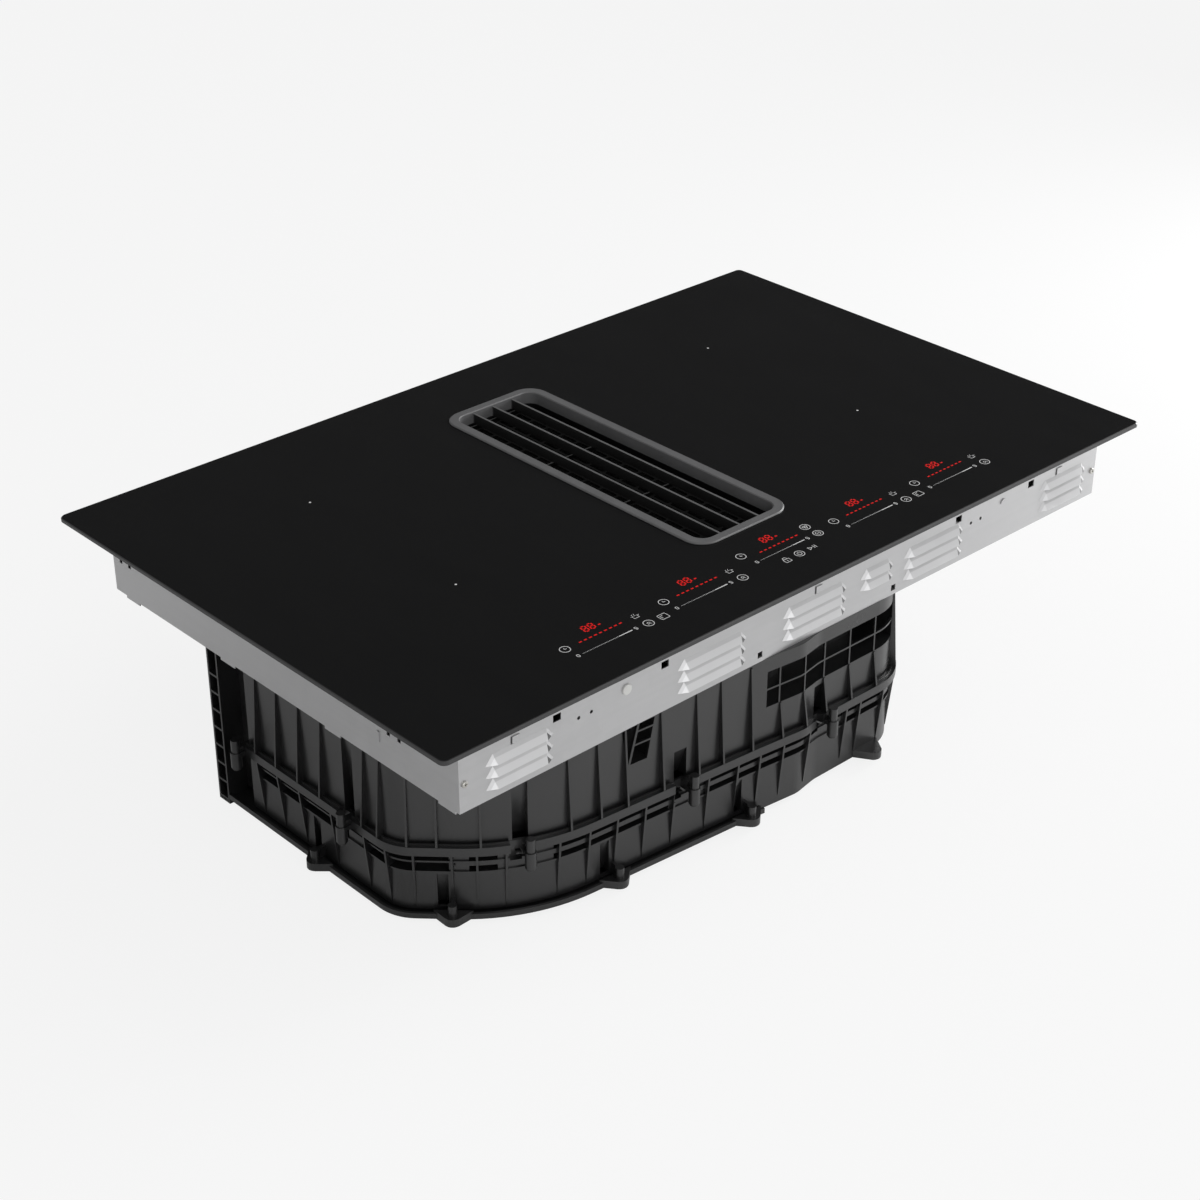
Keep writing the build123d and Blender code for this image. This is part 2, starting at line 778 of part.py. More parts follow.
# stretches of the lower wall without slots: a place on the outline and a length
plain_stretches = [(-386, -88, 18), (-348, -185, 16), (-297, -212, 46), (-140, -240, 38),
                   (20, -250, 46), (148, -120, 28), (148, 40, 28), (148, 150, 28),
                   (60, 200, 28), (-60, 200, 28)]
# screws from the floor pan down into the fan housing's roof
bolt_places = [(-330, 60), (-330, -110), (-110, -190), (110, -190), (110, 100), (-90, 60)]


# ---------------------------------------------------------------- fan housing mouldings
def upright(spot, corners, width):
    """A plate square to the outline; its corners are reaches outward and levels."""
    point, outward = spot
    plane = Plane(origin=(point.X, point.Y, 0), x_dir=(outward.X, outward.Y, 0),
                  z_dir=(outward.Y, -outward.X, 0))
    if plane.y_dir.Z < 0:
        corners = [(x, -y) for x, y in corners]
    return extrude(plane * make_face(Polyline(corners, close=True)), width / 2, both=True)


def gusset(spot, root, reach_a, z_a, reach_b, z_b):
    """A thin rib on the wall: its outer edge runs from reach_a at z_a to reach_b at z_b."""
    corners = [(-root, z_a), (-reach_a, z_a), (-reach_b, z_b), (-root, z_b)]
    return upright(spot, corners, rib_thick)


def hollow_in_wall(spot, width, z0, depth0, z1, depth1, reach):
    """A hollow sunk into the wall, deepest at z0: the wall that backs it, and the hollow."""
    inner = wall_inset + housing_wall
    hollow = upright(spot, [(-wall_inset - depth0, z0), (-wall_inset - depth1, z1),
                            (reach, z1), (reach, z0)], width)
    backing = upright(spot, [(-inner - depth0, z0), (-inner - depth1, z1 + housing_wall),
                             (-wall_inset - 1, z1 + housing_wall), (-wall_inset - 1, z0)],
                      width + 2 * housing_wall)
    return backing, hollow


def across_wall(spot, reach0, reach1, width, z0, z1):
    """A block square to the housing's outline, between two reaches outward from its edge."""
    point, outward = spot
    middle = point + outward * ((reach0 + reach1) / 2)
    turn = degrees(atan2(outward.Y, outward.X))
    place = Pos(middle.X, middle.Y, (z0 + z1) / 2) * Rot(0, 0, turn)
    return place * Box(reach1 - reach0, width, z1 - z0)


def rod_at(spot, reach, z0, z1, diameter):
    """An upright cylinder at a reach outward from a spot on the outline."""
    point, outward = spot
    centre = point + outward * reach
    return rod(centre.X, centre.Y, z0, z1, diameter)


def joint_flange(z0, z1, lug, web):
    """One half of the joint between the mouldings, with a lug for each screw."""
    flange = band(0, wall_inset + housing_wall, z0, z1)
    inside = prism(wall_inset + housing_wall, z0, z1)
    lugs = []
    for spot in boss_spots:
        lugs.append(rod_at(spot, boss_reach, z0, z1, lug))
        lugs.append(across_wall(spot, -recess_depth - 2, boss_reach, web, z0, z1))
    return flange + (Part() + lugs - inside)


def flange_notches():
    """Cuts in both flanges beside each screw, just short of the gasket."""
    notches = []
    for spot in boss_spots:
        place = spot_beside(spot, notch_shift)
        notches.append(across_wall(place, -gasket_inset + 0.7, 5, notch_width,
                                   joint_z - flange_thick, joint_z + flange_thick + lip_height))
    return notches


def outlet_frame(z0, z1):
    """The ribbed frame round the air outlet, cut to the span of one moulding."""
    x0 = -housing_left
    x1 = x0 + outlet_frame_width
    y1 = outlet_back
    y0 = y1 - outlet_frame_depth
    frame = block(x0, x1, y1 - outlet_plate, y1, z0, z1)
    frame += block(x0, x1, y0, y0 + outlet_plate, z0, z1)
    duct_top = scroll_top - scroll_wall - duct_wall
    duct_bottom = duct_top - duct_height
    sleeve_x = duct_width / 2 + duct_wall
    sleeve = block(duct_x - sleeve_x, duct_x + sleeve_x, y0, y1,
                   max(z0, duct_bottom - duct_wall), min(z1, duct_top + duct_wall))
    ribs = []
    rib_levels = [-outlet_rib_top - outlet_rib_pitch * number
                  for number in range(outlet_rib_count)]
    rib_levels += [-outlet_frame_bottom + outlet_plate / 2]
    for z in rib_levels:
        if z0 < z - outlet_plate and z + outlet_plate / 2 <= z1:
            ribs.append(block(x0, x1, y0, y1, z - outlet_plate / 2, z + outlet_plate / 2))
    if z0 == -outlet_frame_bottom:
        ribs.append(block(x0, x1, y0, y1, z0, z0 + outlet_plate))
    half = outlet_column_thick / 2
    for number in range(1, outlet_columns):
        x = x0 + number * outlet_frame_width / outlet_columns
        ribs.append(block(x - half, x + half, y0, y1, z0, z1))
    frame = frame + sleeve + ribs
    opening = block(duct_x - duct_width / 2, duct_x + duct_width / 2, y0, y1,
                    duct_bottom, duct_top)
    return frame - opening


def front_strip(x0, x1, z0, z1):
    """A block through the front wall, from well before it to well behind it."""
    return block(x0, x1, -housing_front - 20, -housing_front + 60, z0, z1)


def lattice_window():
    """The lattice window's recess behind the front wall: its backing and its hollow."""
    low = -window_bottom
    high = -window_top
    wall = housing_wall
    backing = band(wall_inset + 1, wall_inset + window_depth + wall, low - wall, high + wall)
    backing &= front_strip(window_left - wall, window_right + wall, low - wall, high + wall)
    hollow = band(wall_inset - 1, wall_inset + window_depth, low, high)
    return backing, hollow & front_strip(window_left, window_right, low, high)


def window_bars():
    """The thin bars that divide the lattice window, following the front wall."""
    wall = band(wall_inset, wall_inset + window_bar_depth, -window_bottom, -window_top)
    middle = -(window_top + window_bottom) / 2
    half = window_bar / 2
    bars = [front_strip(window_left, window_right, middle - half, middle + half)]
    for x in window_bar_x:
        bars.append(front_strip(x - half, x + half, -window_bottom, -window_top))
    return [wall & bar for bar in bars]


def leaning(left_top, right_top, left_bottom, right_bottom, back_y, top, bottom):
    """A prism through the front wall, four-sided as seen from the front."""
    front_y = -housing_front - 5
    corners = [(left_top, top), (right_top, top), (right_bottom, bottom), (left_bottom, bottom)]
    plane = Plane(origin=(0, front_y, 0), x_dir=(1, 0, 0), z_dir=(0, -1, 0))
    return extrude(plane * make_face(Polyline(corners, close=True)), front_y - back_y)


def slant_window():
    """The leaning window left of the middle: its backing and its hollow."""
    wall = housing_wall
    left = slant_window_left
    right = slant_window_right
    lean = slant_window_lean
    back_y = -housing_front + 40
    high = -slant_window_top
    low = -slant_window_bottom
    foot = left + slant_window_foot
    hollow = leaning(left, right, foot, right - lean, back_y - wall, high, low)
    backing = leaning(left - wall, right + wall, foot - wall, right - lean + wall, back_y,
                      high + wall, low - wall)
    return backing & prism(wall_inset + 1, low - wall, high + wall), hollow


def slant_bars():
    """The leaning bar and the cross bars in front of the leaning window."""
    high = -slant_window_top
    low = -slant_window_bottom
    wall = band(wall_inset, wall_inset + slant_bar_depth, low, high)
    thick = slant_bar_thick
    right_low = slant_window_right - slant_window_lean
    back_y = -housing_front + 40
    bars = [leaning(slant_bar_top, slant_bar_top + thick, slant_bar_bottom,
                    slant_bar_bottom + thick, back_y, high, low),
            leaning(slant_window_right - thick, slant_window_right, right_low - thick,
                    right_low, back_y, high, low)]
    span = leaning(slant_bar_top, slant_window_right, slant_bar_bottom, right_low, back_y,
                   high, low)
    for drop in slant_cross_drops:
        cross = front_strip(slant_window_left, slant_window_right, -drop - window_bar / 2,
                            -drop + window_bar / 2)
        bars.append(span & cross)
    return [wall & bar for bar in bars]


def make_upper_housing():
    inner = wall_inset + housing_wall
    flange_top = joint_z + flange_thick
    shell = prism(wall_inset, joint_z, roof_top) - prism(inner, joint_z, roof_bottom)
    backings = []
    hollows = []
    for spot in boss_spots[1:]:
        place = spot_beside(spot, dent_shift)
        under_window = slant_window_left < spot[0].X < window_right and spot[0].Y < 0
        top = -window_bottom - 2 * housing_wall if under_window else roof_bottom - housing_wall
        backing, hollow = hollow_in_wall(place, dent_width, flange_top, dent_depth,
                                         top, dent_top_depth, 1)
        backings.append(backing)
        hollows.append(hollow)
    for backing, hollow in (lattice_window(), slant_window()):
        backings.append(backing)
        hollows.append(hollow)
    shell = shell + backings
    shell += joint_flange(joint_z, flange_top, boss_top_diameter, boss_web)
    shell += band(lip_inset, lip_inset + lip_width, flange_top, flange_top + lip_height)
    shell -= hollows
    ribs = []
    for spot in upper_rib_spots:
        in_window = window_left < spot[0].X < window_right and spot[0].Y < 0
        top = -window_bottom - 0.5 if in_window else roof_top - 3
        ribs.append(gusset(spot, wall_inset + 1, wall_inset - rib_top_reach, top,
                           0, joint_z + 1))
    for spot in boss_spots:
        ribs.append(rod_at(spot, boss_reach, joint_z, joint_z + boss_up, boss_top_diameter))
    shell = shell + ribs + window_bars() + slant_bars()
    shell += outlet_frame(joint_z, roof_top)
    cuts = [slab(collar_outer_width + collar_gap, collar_outer_length + collar_gap,
                 grille_skirt_corner, roof_bottom, roof_top, y=intake_y)]
    for spot in boss_spots:
        cuts.append(rod_at(spot, boss_reach, joint_z, joint_z + boss_up - 3,
                           housing_screw_shank))
    for x, y in bolt_places:
        cuts.append(rod(x, y, roof_bottom, roof_top, housing_screw_shank))
    cuts.append(duct_opening())
    return shell - cuts - flange_notches()


def duct_opening():
    """The way out for the air, through the housing's back wall and the outlet frame."""
    duct_top = scroll_top - scroll_wall - duct_wall
    return block(duct_x - duct_width / 2, duct_x + duct_width / 2,
                 outlet_back - outlet_frame_depth - 2, outlet_back,
                 duct_top - duct_height, duct_top)


def slot_rows():
    """The rows of slots under the joint: deep cells between two shelves and the ribs."""
    inner = wall_inset + housing_wall
    top = joint_z - flange_thick
    bottom = -slot_row_bottom
    rows = band(wall_inset + slot_row_depth, inner + slot_row_depth, bottom, top)
    rows += band(wall_inset, inner + slot_row_depth, bottom - side_shelf_thick, bottom)
    rows += band(shelf_inset, wall_inset + 1, bottom - side_shelf_thick, bottom)
    upper = -upper_shelf_drop
    rows += band(shelf_inset, inner + slot_row_depth, upper - side_shelf_thick, upper)
    front = band(shelf_inset, inner + slot_row_depth, upper - front_shelf_thick, upper)
    rows += front & block(corner_cut / 2 - housing_left, housing_right, -housing_front - 10,
                          -100, upper - front_shelf_thick, upper)
    fill = band(wall_inset, inner + slot_row_depth, bottom - side_shelf_thick, top)
    for x, y, length in plain_stretches:
        rows += fill & across_wall(spot_near(x, y), -40, 5, length, bottom, top)
    # behind the outlet frame the wall is plain, and each row ends at a cap
    zone_x = step_x + slot_row_depth + inner + outlet_margin
    zone_y0 = outlet_mid - recess_length - slot_row_depth - outlet_margin
    zone_y1 = outlet_mid + outlet_margin
    zone = block(-housing_left - 1, zone_x, zone_y0, zone_y1, bottom - side_shelf_thick, top)
    around = block(-housing_left - 1, zone_x, zone_y0 - housing_wall, zone_y1 + housing_wall,
                   bottom - side_shelf_thick, top)
    plain_wall = band(wall_inset, inner, bottom - side_shelf_thick, top) & zone
    return (rows - zone) + plain_wall + (fill & (around - zone))


def make_lower_housing():
    inner = wall_inset + housing_wall
    low = -lower_wall_drop
    row_bottom = -slot_row_bottom - side_shelf_thick
    shell = band(wall_inset, inner, low, row_bottom) + slot_rows()
    shell += joint_flange(joint_z - flange_thick, joint_z, boss_diameter, boss_diameter)
    # to the right of the cover the moulding closes itself with its own floor
    right_side = block(cover_right, housing_right, -housing_front - 10, housing_back,
                       cover_bottom, low)
    floor_side = prism(wall_inset, cover_bottom, low) & right_side
    basin = prism(inner, cover_top, low) & block(cover_right + housing_wall, housing_right,
                                                 -housing_front, housing_back, cover_top, low)
    shell += floor_side - basin
    shell += block(cover_right, cover_right + housing_wall, -housing_front + inner - 1,
                   housing_back - inner + 1, cover_bottom, low + 12)
    shell += lobe(spot_near(foot_x, -250), wall_inset + 1, cover_bottom, -lobe_top_drop)
    backings = []
    hollows = []
    for spot in boss_spots[1:]:
        hollows.append(across_wall(spot_beside(spot, notch_shift), -wall_inset - notch_depth, 5,
                                   notch_width, -notch_drop, joint_z - flange_thick))
    for spot in lobe_spots:
        backing, hollow = hollow_in_wall(spot_beside(spot, niche_shift), niche_width,
                                         low + 3, niche_depth, row_bottom - 2,
                                         niche_top_depth, 2)
        backings.append(backing)
        hollows.append(hollow)
    ribs = []
    for spot in lower_rib_spots:
        ribs.append(gusset(spot, wall_inset + 1, wall_inset - 0.5, lift_gap - lobe_top_drop,
                           0.5, joint_z - 1))
        ribs.append(gusset(spot, wall_inset + slot_row_depth + 1, wall_inset - 1,
                           row_bottom, 0.5, joint_z - 1))
    for spot in boss_spots:
        ribs.append(rod_at(spot, boss_reach, joint_z - boss_down, joint_z, boss_diameter))
    for spot in lobe_spots:
        ribs.append(rod_at(spot, lobe_reach, -lobe_top_drop, low + post_height + 3,
                           post_diameter))
        ribs.append(across_wall(spot, -wall_inset - 1, lobe_reach, 3.0, -lobe_top_drop,
                                low + post_height + 3))
    shell = shell + backings + ribs - hollows
    shell += [hook(spot) for spot in boss_spots[1:]]
    shell += outlet_frame(-outlet_frame_bottom, joint_z)
    cuts = [duct_opening(), gasket_ring()] + flange_notches()
    for spot in boss_spots:
        cuts.append(rod_at(spot, boss_reach, joint_z - boss_down, joint_z,
                           housing_screw_shank))
    for spot in lobe_spots:
        cuts.append(rod_at(spot, lobe_reach, -lobe_top_drop, low + post_height + 1.5,
                           housing_screw_shank))
    return shell - cuts


def hook(spot):
    """The little snap hook in the notch beside a screw."""
    place = spot_beside(spot, notch_shift + hook_shift)
    top = joint_z - flange_thick - hook_drop
    return across_wall(place, -wall_inset - notch_depth - 1, -hook_shift, hook_width,
                       top - hook_height, top)


def lobe(spot, root, z0, z1):
    """A tapered screw lobe that stands out from the outline, from a root inside it."""
    point, outward = spot
    half = lobe_base / 2
    tip = lobe_diameter * lobe_taper
    turn = degrees(atan2(outward.Y, outward.X))
    corners = [(-root, -half), (lobe_reach + tip, -tip), (lobe_reach + tip, tip),
               (-root, half)]
    plan = make_face(Polyline(corners, close=True))
    plan += Pos(lobe_reach, 0) * Circle(lobe_diameter / 2)
    return extrude(Pos(point.X, point.Y, z0) * Rot(0, 0, turn) * plan, z1 - z0)


def gasket_ring():
    """The soft seal in a groove between the two housing mouldings."""
    return band(gasket_inset, gasket_inset + gasket_width, joint_z - gasket_depth, joint_z)


def make_bottom_cover():
    """The removable base under the fan, with a rim, screw lobes and stiffening ribs."""
    low = -lower_wall_drop
    edge_x = cover_right - lift_gap
    frame_edge = outlet_back - outlet_frame_depth - lift_gap
    front_y = -housing_front - 20
    top = -lobe_top_drop
    keep = block(-housing_left - 20, edge_x, front_y, housing_back + 20, cover_bottom, top)
    keep -= block(-housing_left - 20, outlet_frame_width - housing_left + lift_gap,
                  frame_edge, housing_back + 20, cover_bottom, top)
    keep -= prism(wall_inset - lift_gap, low, top)
    cover = whole_prism(0, cover_bottom, low) - whole_prism(housing_wall, cover_top, low)
    lobes = []
    holes = []
    for spot in lobe_spots:
        lobes.append(lobe(spot, housing_wall, cover_bottom, -lobe_top_drop))
        holes.append(rod_at(spot, lobe_reach, cover_bottom, -lobe_top_drop,
                            housing_screw_shank))
        holes.append(rod_at(spot, lobe_reach, cover_bottom,
                            cover_bottom + housing_screw_head_height, housing_screw_head + 0.4))
    for x, y in motor_bolt_places():
        holes.append(rod(x, y, cover_top - 1.6, cover_top, housing_screw_shank))
    ribs = []
    for turn in range(8):
        spoke = Pos(fan_x, fan_y, 0) * Rot(0, 0, 45 * turn + 22.5)
        ribs.append(spoke * Pos(84, 0, cover_top + 0.9) * Box(36, 2, 2.2))
    return ((cover + lobes) & keep) + ribs - holes


def make_flange_screws():
    """Screws of the mid joint, heads down under the lower bosses."""
    screws = []
    for point, outward in boss_spots:
        centre = point + outward * boss_reach
        seat = Pos(centre.X, centre.Y, joint_z - boss_down)
        screws.append(screw(seat * Rot(180, 0, 0), housing_screw_shank - 0.2,
                            boss_down + boss_up - 4, housing_screw_head,
                            housing_screw_head_height))
    return screws


def make_cover_screws():
    """Screws of the bottom cover, heads down in its lobes."""
    screws = []
    for point, outward in lobe_spots:
        centre = point + outward * lobe_reach
        seat = Pos(centre.X, centre.Y, cover_bottom + housing_screw_head_height)
        screws.append(screw(seat * Rot(180, 0, 0), housing_screw_shank - 0.2, 10.0,
                            housing_screw_head, housing_screw_head_height))
    return screws


def make_housing_bolts():
    """Screws from the floor pan into the housing's roof."""
    screws = []
    for x, y in bolt_places:
        seat = Pos(x, y, pan_top)
        screws.append(screw(seat, housing_screw_shank - 0.2, sheet + housing_wall - 0.2,
                            housing_screw_head, housing_screw_head_height))
    return screws


# ---------------------------------------------------------------- scroll, impeller and motor
def scroll_points():
    """The scroll's inner face, from its tongue clockwise round the impeller to the outlet."""
    steps = 18
    points = []
    for number in range(steps + 1):
        share = number / steps
        angle = radians(35 - 215 * share)
        radius = scroll_tongue + (scroll_reach - scroll_tongue) * share
        points.append((fan_x + radius * cos(angle), fan_y + radius * sin(angle)))
    return points


def scroll_plan(grow):
    """The closed plan of the air channel, grown by a wall's thickness."""
    outlet_y = outlet_mid - wall_inset - housing_wall - lift_gap
    points = scroll_points()
    centre = Vector(fan_x, fan_y)
    grown = []
    for x, y in points:
        out = (Vector(x, y) - centre).normalized()
        grown.append((x + out.X * grow, y + out.Y * grow))
    left = grown[-1][0]
    right = duct_x + duct_width / 2 + grow
    tongue = grown[0]
    curve = Spline(grown)
    rest = Polyline([grown[-1], (left, outlet_y), (right, outlet_y), (right, tongue[1] + 12),
                     tongue])
    return make_face(curve + rest)


def make_scroll_shell():
    """The scroll round the impeller: roof with the inlet hole, and the curved side wall."""
    outer = extrude(Pos(0, 0, cover_top) * scroll_plan(scroll_wall),
                    scroll_top - cover_top)
    inner = extrude(Pos(0, 0, cover_top) * scroll_plan(0), scroll_top - scroll_wall - cover_top)
    shell = outer - inner
    return shell - rod(fan_x, fan_y, scroll_top - scroll_wall, scroll_top, inlet_bore + 12)


def make_inlet_ring():
    """The bellmouth that leads the air into the impeller's eye."""
    top = scroll_top
    throat_bottom = -impeller_bottom + impeller_height - 4
    radius = inlet_bore / 2
    profile = [(radius, throat_bottom), (radius + 1.6, throat_bottom), (radius + 1.6, top - 6),
               (radius + 5.4, top), (radius + 16, top), (radius + 16, top + 1.8),
               (radius + 4.6, top + 1.8), (radius, top - 5)]
    face = Plane.XZ * make_face(Polyline(profile, close=True))
    return Pos(fan_x, fan_y, 0) * revolve(face, Axis.Z)


def make_impeller():
    """Centrifugal wheel with forward-curved blades between a back plate and a top ring."""
    bottom = -impeller_bottom
    top = bottom + impeller_height
    radius = impeller_diameter / 2
    plate = rod(0, 0, bottom, bottom + 2, impeller_diameter)
    plate -= rod(0, 0, bottom, bottom + 2, rotor_diameter)
    ring = rod(0, 0, top - 3, top, impeller_diameter) - rod(0, 0, top - 3, top,
                                                             impeller_diameter - 6)
    start = (radius - blade_depth, 0)
    middle = (radius - blade_depth / 2, 3.2)
    end = (radius - 0.8, 0.6)
    blade_line = ThreePointArc(start, middle, end)
    blade = extrude(Pos(0, 0, bottom + 1) * trace(blade_line, blade_thick), impeller_height - 2)
    blades = [Rot(0, 0, 360 * number / blade_count) * blade for number in range(blade_count)]
    hub_ring = rod(0, 0, bottom, bottom + 8, rotor_diameter + 6)
    hub_ring -= rod(0, 0, bottom, bottom + 8, rotor_diameter)
    return Pos(fan_x, fan_y, 0) * (plate + ring + hub_ring + blades)


def make_motor_rotor():
    """The external rotor's cup, closed on top, with the magnet ring inside it."""
    bottom = -impeller_bottom
    top = bottom + rotor_height
    cup = rod(fan_x, fan_y, bottom, top, rotor_diameter)
    cup -= rod(fan_x, fan_y, bottom, top - rotor_wall, rotor_diameter - 2 * rotor_wall)
    cup += rod(fan_x, fan_y, top - 6, top, 20)
    return cup - rod(fan_x, fan_y, top - 6, top, shaft_diameter)


def make_motor_shaft():
    top = -impeller_bottom + rotor_height
    return rod(fan_x, fan_y, motor_plate_bottom() + 1, top, shaft_diameter - 0.02)


def motor_plate_bottom():
    return cover_top + damper_height


def make_motor_base():
    """The plate on rubber dampers, with the tube that holds the stator and the bearings."""
    z0 = motor_plate_bottom()
    z1 = z0 + motor_plate
    tube_top = -impeller_bottom + rotor_height - 8
    base = rod(fan_x, fan_y, z0, z1, motor_plate_diameter)
    base += rod(fan_x, fan_y, z0, tube_top, bearing_diameter + 5)
    bore = rod(fan_x, fan_y, z0, tube_top, shaft_diameter + 4)
    for z in bearing_levels():
        bore += rod(fan_x, fan_y, z, z + bearing_height, bearing_diameter)
    base -= bore
    base -= rod(fan_x, fan_y, bearing_levels()[1], tube_top, bearing_diameter)
    base -= rod(fan_x, fan_y, z0, bearing_levels()[0] + bearing_height, bearing_diameter)
    for x, y in motor_bolt_places():
        base -= rod(x, y, z0, z1, housing_screw_shank)
    return base


def bearing_levels():
    z0 = motor_plate_bottom() + 2
    tube_top = -impeller_bottom + rotor_height - 8
    return [z0, tube_top - bearing_height]


def make_motor_bearings():
    """Two ball bearings, each drawn as its closed ring with the shaft's running fit."""
    rings = []
    for z in bearing_levels():
        ring = rod(fan_x, fan_y, z, z + bearing_height, bearing_diameter)
        bore = shaft_diameter + 2 * shaft_clearance
        rings.append(ring - rod(fan_x, fan_y, z, z + bearing_height, bore))
    return rings


def stator_level():
    return -impeller_bottom + 5


def make_motor_stator():
    """Laminated core with twelve teeth round the bearing tube."""
    z0 = stator_level()
    z1 = z0 + stator_height
    hub = bearing_diameter + 5
    core = rod(0, 0, z0, z1, hub + 14) - rod(0, 0, z0, z1, hub)
    teeth = []
    for number in range(12):
        turn = Rot(0, 0, 30 * number)
        teeth.append(turn * block(hub / 2 + 4, stator_diameter / 2 - 3, -2, 2, z0, z1))
        pole = rod(0, 0, z0, z1, stator_diameter) - rod(0, 0, z0, z1, stator_diameter - 6)
        sector = block(0, stator_diameter, -8, 8, z0, z1)
        teeth.append(turn * (pole & sector))
    return Pos(fan_x, fan_y, 0) * (core + teeth)


def make_motor_windings():
    """One copper coil on each tooth of the stator."""
    z0 = stator_level() - 2.5
    z1 = z0 + stator_height + 5
    hub = bearing_diameter + 5
    coils = []
    for number in range(12):
        turn = Pos(fan_x, fan_y, 0) * Rot(0, 0, 30 * number)
        x0 = hub / 2 + 11
        x1 = stator_diameter / 2 - 3.4
        coil = block(x0, x1, -4.4, 4.4, z0, z1)
        coil -= block(x0, x1, -2.2, 2.2, z0 + 2.3, z1 - 2.3)
        coils.append(turn * coil)
    return coils


def motor_bolt_places():
    radius = motor_bolt_circle / 2
    places = []
    for number in range(4):
        angle = radians(45 + 90 * number)
        places.append((fan_x + radius * cos(angle), fan_y + radius * sin(angle)))
    return places


def make_motor_dampers():
    """Rubber buffers between the motor plate and the bottom cover."""
    dampers = []
    for x, y in motor_bolt_places():
        damper = rod(x, y, cover_top, motor_plate_bottom(), damper_diameter)
        dampers.append(damper - rod(x, y, cover_top, motor_plate_bottom(), housing_screw_shank))
    return dampers


def make_motor_screws():
    screws = []
    for x, y in motor_bolt_places():
        seat = Pos(x, y, motor_plate_bottom() + motor_plate)
        screws.append(screw(seat, housing_screw_shank - 0.4, motor_plate + damper_height + 1.4,
                            housing_screw_head, housing_screw_head_height))
    return screws


# ---------------------------------------------------------------- induction zones
def coil_levels():
    """Levels of one zone from the glass down: coil top, carrier top, ferrite top, plate top."""
    coil_top = glass_bottom - coil_gap
    carrier_top = coil_top - coil_height
    ferrite_top = carrier_top - carrier_thick
    plate_top = ferrite_top - ferrite_thick
    return coil_top, carrier_top, ferrite_top, plate_top


def zone_places():
    """Centres of the four zones: left back, left front, right back, right front."""
    return [(side * zone_x, y) for side in (-1, 1) for y in zone_y]


def make_coil_carrier(x, y):
    coil_top, carrier_top, ferrite_top, plate_top = coil_levels()
    carrier = rod(x, y, ferrite_top, carrier_top, carrier_diameter)
    carrier -= rod(x, y, ferrite_top, carrier_top, sensor_diameter + 6)
    rim = rod(x, y, carrier_top, coil_top, carrier_diameter)
    rim -= rod(x, y, carrier_top, coil_top, coil_diameter + 1)
    hub = rod(x, y, carrier_top, coil_top, coil_bore - 1)
    hub -= rod(x, y, carrier_top, coil_top, sensor_diameter + 6)
    return carrier + rim + hub


def make_coil_winding(x, y):
    coil_top, carrier_top, ferrite_top, plate_top = coil_levels()
    ring = rod(x, y, carrier_top, coil_top - 0.4, coil_diameter)
    return ring - rod(x, y, carrier_top, coil_top - 0.4, coil_bore)


def make_ferrites():
    """Flat ferrite bars in a star under each zone."""
    coil_top, carrier_top, ferrite_top, plate_top = coil_levels()
    bars = []
    inner = coil_bore / 2 + 2
    for x, y in zone_places():
        for number in range(ferrite_count):
            turn = Pos(x, y, 0) * Rot(0, 0, 360 * number / ferrite_count)
            bars.append(turn * block(inner, inner + ferrite_length, -ferrite_width / 2,
                                     ferrite_width / 2, plate_top, ferrite_top))
    return bars


def make_sensors():
    """The temperature sensor in the middle of each zone, on its spring foot."""
    coil_top, carrier_top, ferrite_top, plate_top = coil_levels()
    sensors = []
    for x, y in zone_places():
        sensor = rod(x, y, plate_top, glass_bottom - 2.0, sensor_diameter - 3)
        sensor += rod(x, y, glass_bottom - 2.0, glass_bottom, sensor_diameter)
        sensor += rod(x, y, plate_top, ferrite_top, sensor_diameter + 4)
        sensors.append(sensor)
    return sensors


def plate_post_places(side):
    x0 = side * (coil_plate_inner + 12)
    x1 = side * (side_x - fold_width - 12)
    ys = [coil_plate_front + 8, 35.0, casing_back - 22]
    return [(x, y) for x in (x0, x1) for y in ys]


def make_coil_plate(side):
    """Aluminium plate that carries two zones above the electronics."""
    plate_top = coil_levels()[3]
    x0 = side * coil_plate_inner
    x1 = side * (side_x - fold_width / 3)
    plate = block(min(x0, x1), max(x0, x1), coil_plate_front, casing_back - 6,
                  plate_top - coil_plate_thick, plate_top)
    cuts = []
    for y in zone_y:
        for number in range(4):
            turn = Pos(side * zone_x, y, 0) * Rot(0, 0, 45 + 90 * number)
            cuts.append(turn * block(86, 92, -9, 9, plate_top - coil_plate_thick, plate_top))
    return plate - cuts


def make_plate_posts():
    """Hexagon pillars from the floor pan up to the coil plates."""
    top = coil_levels()[3] - coil_plate_thick
    posts = []
    for side in (-1, 1):
        for x, y in plate_post_places(side):
            post = extrude(Pos(x, y, pan_top) * RegularPolygon(post_across / 2, 6),
                           top - pan_top)
            posts.append(post)
    return posts


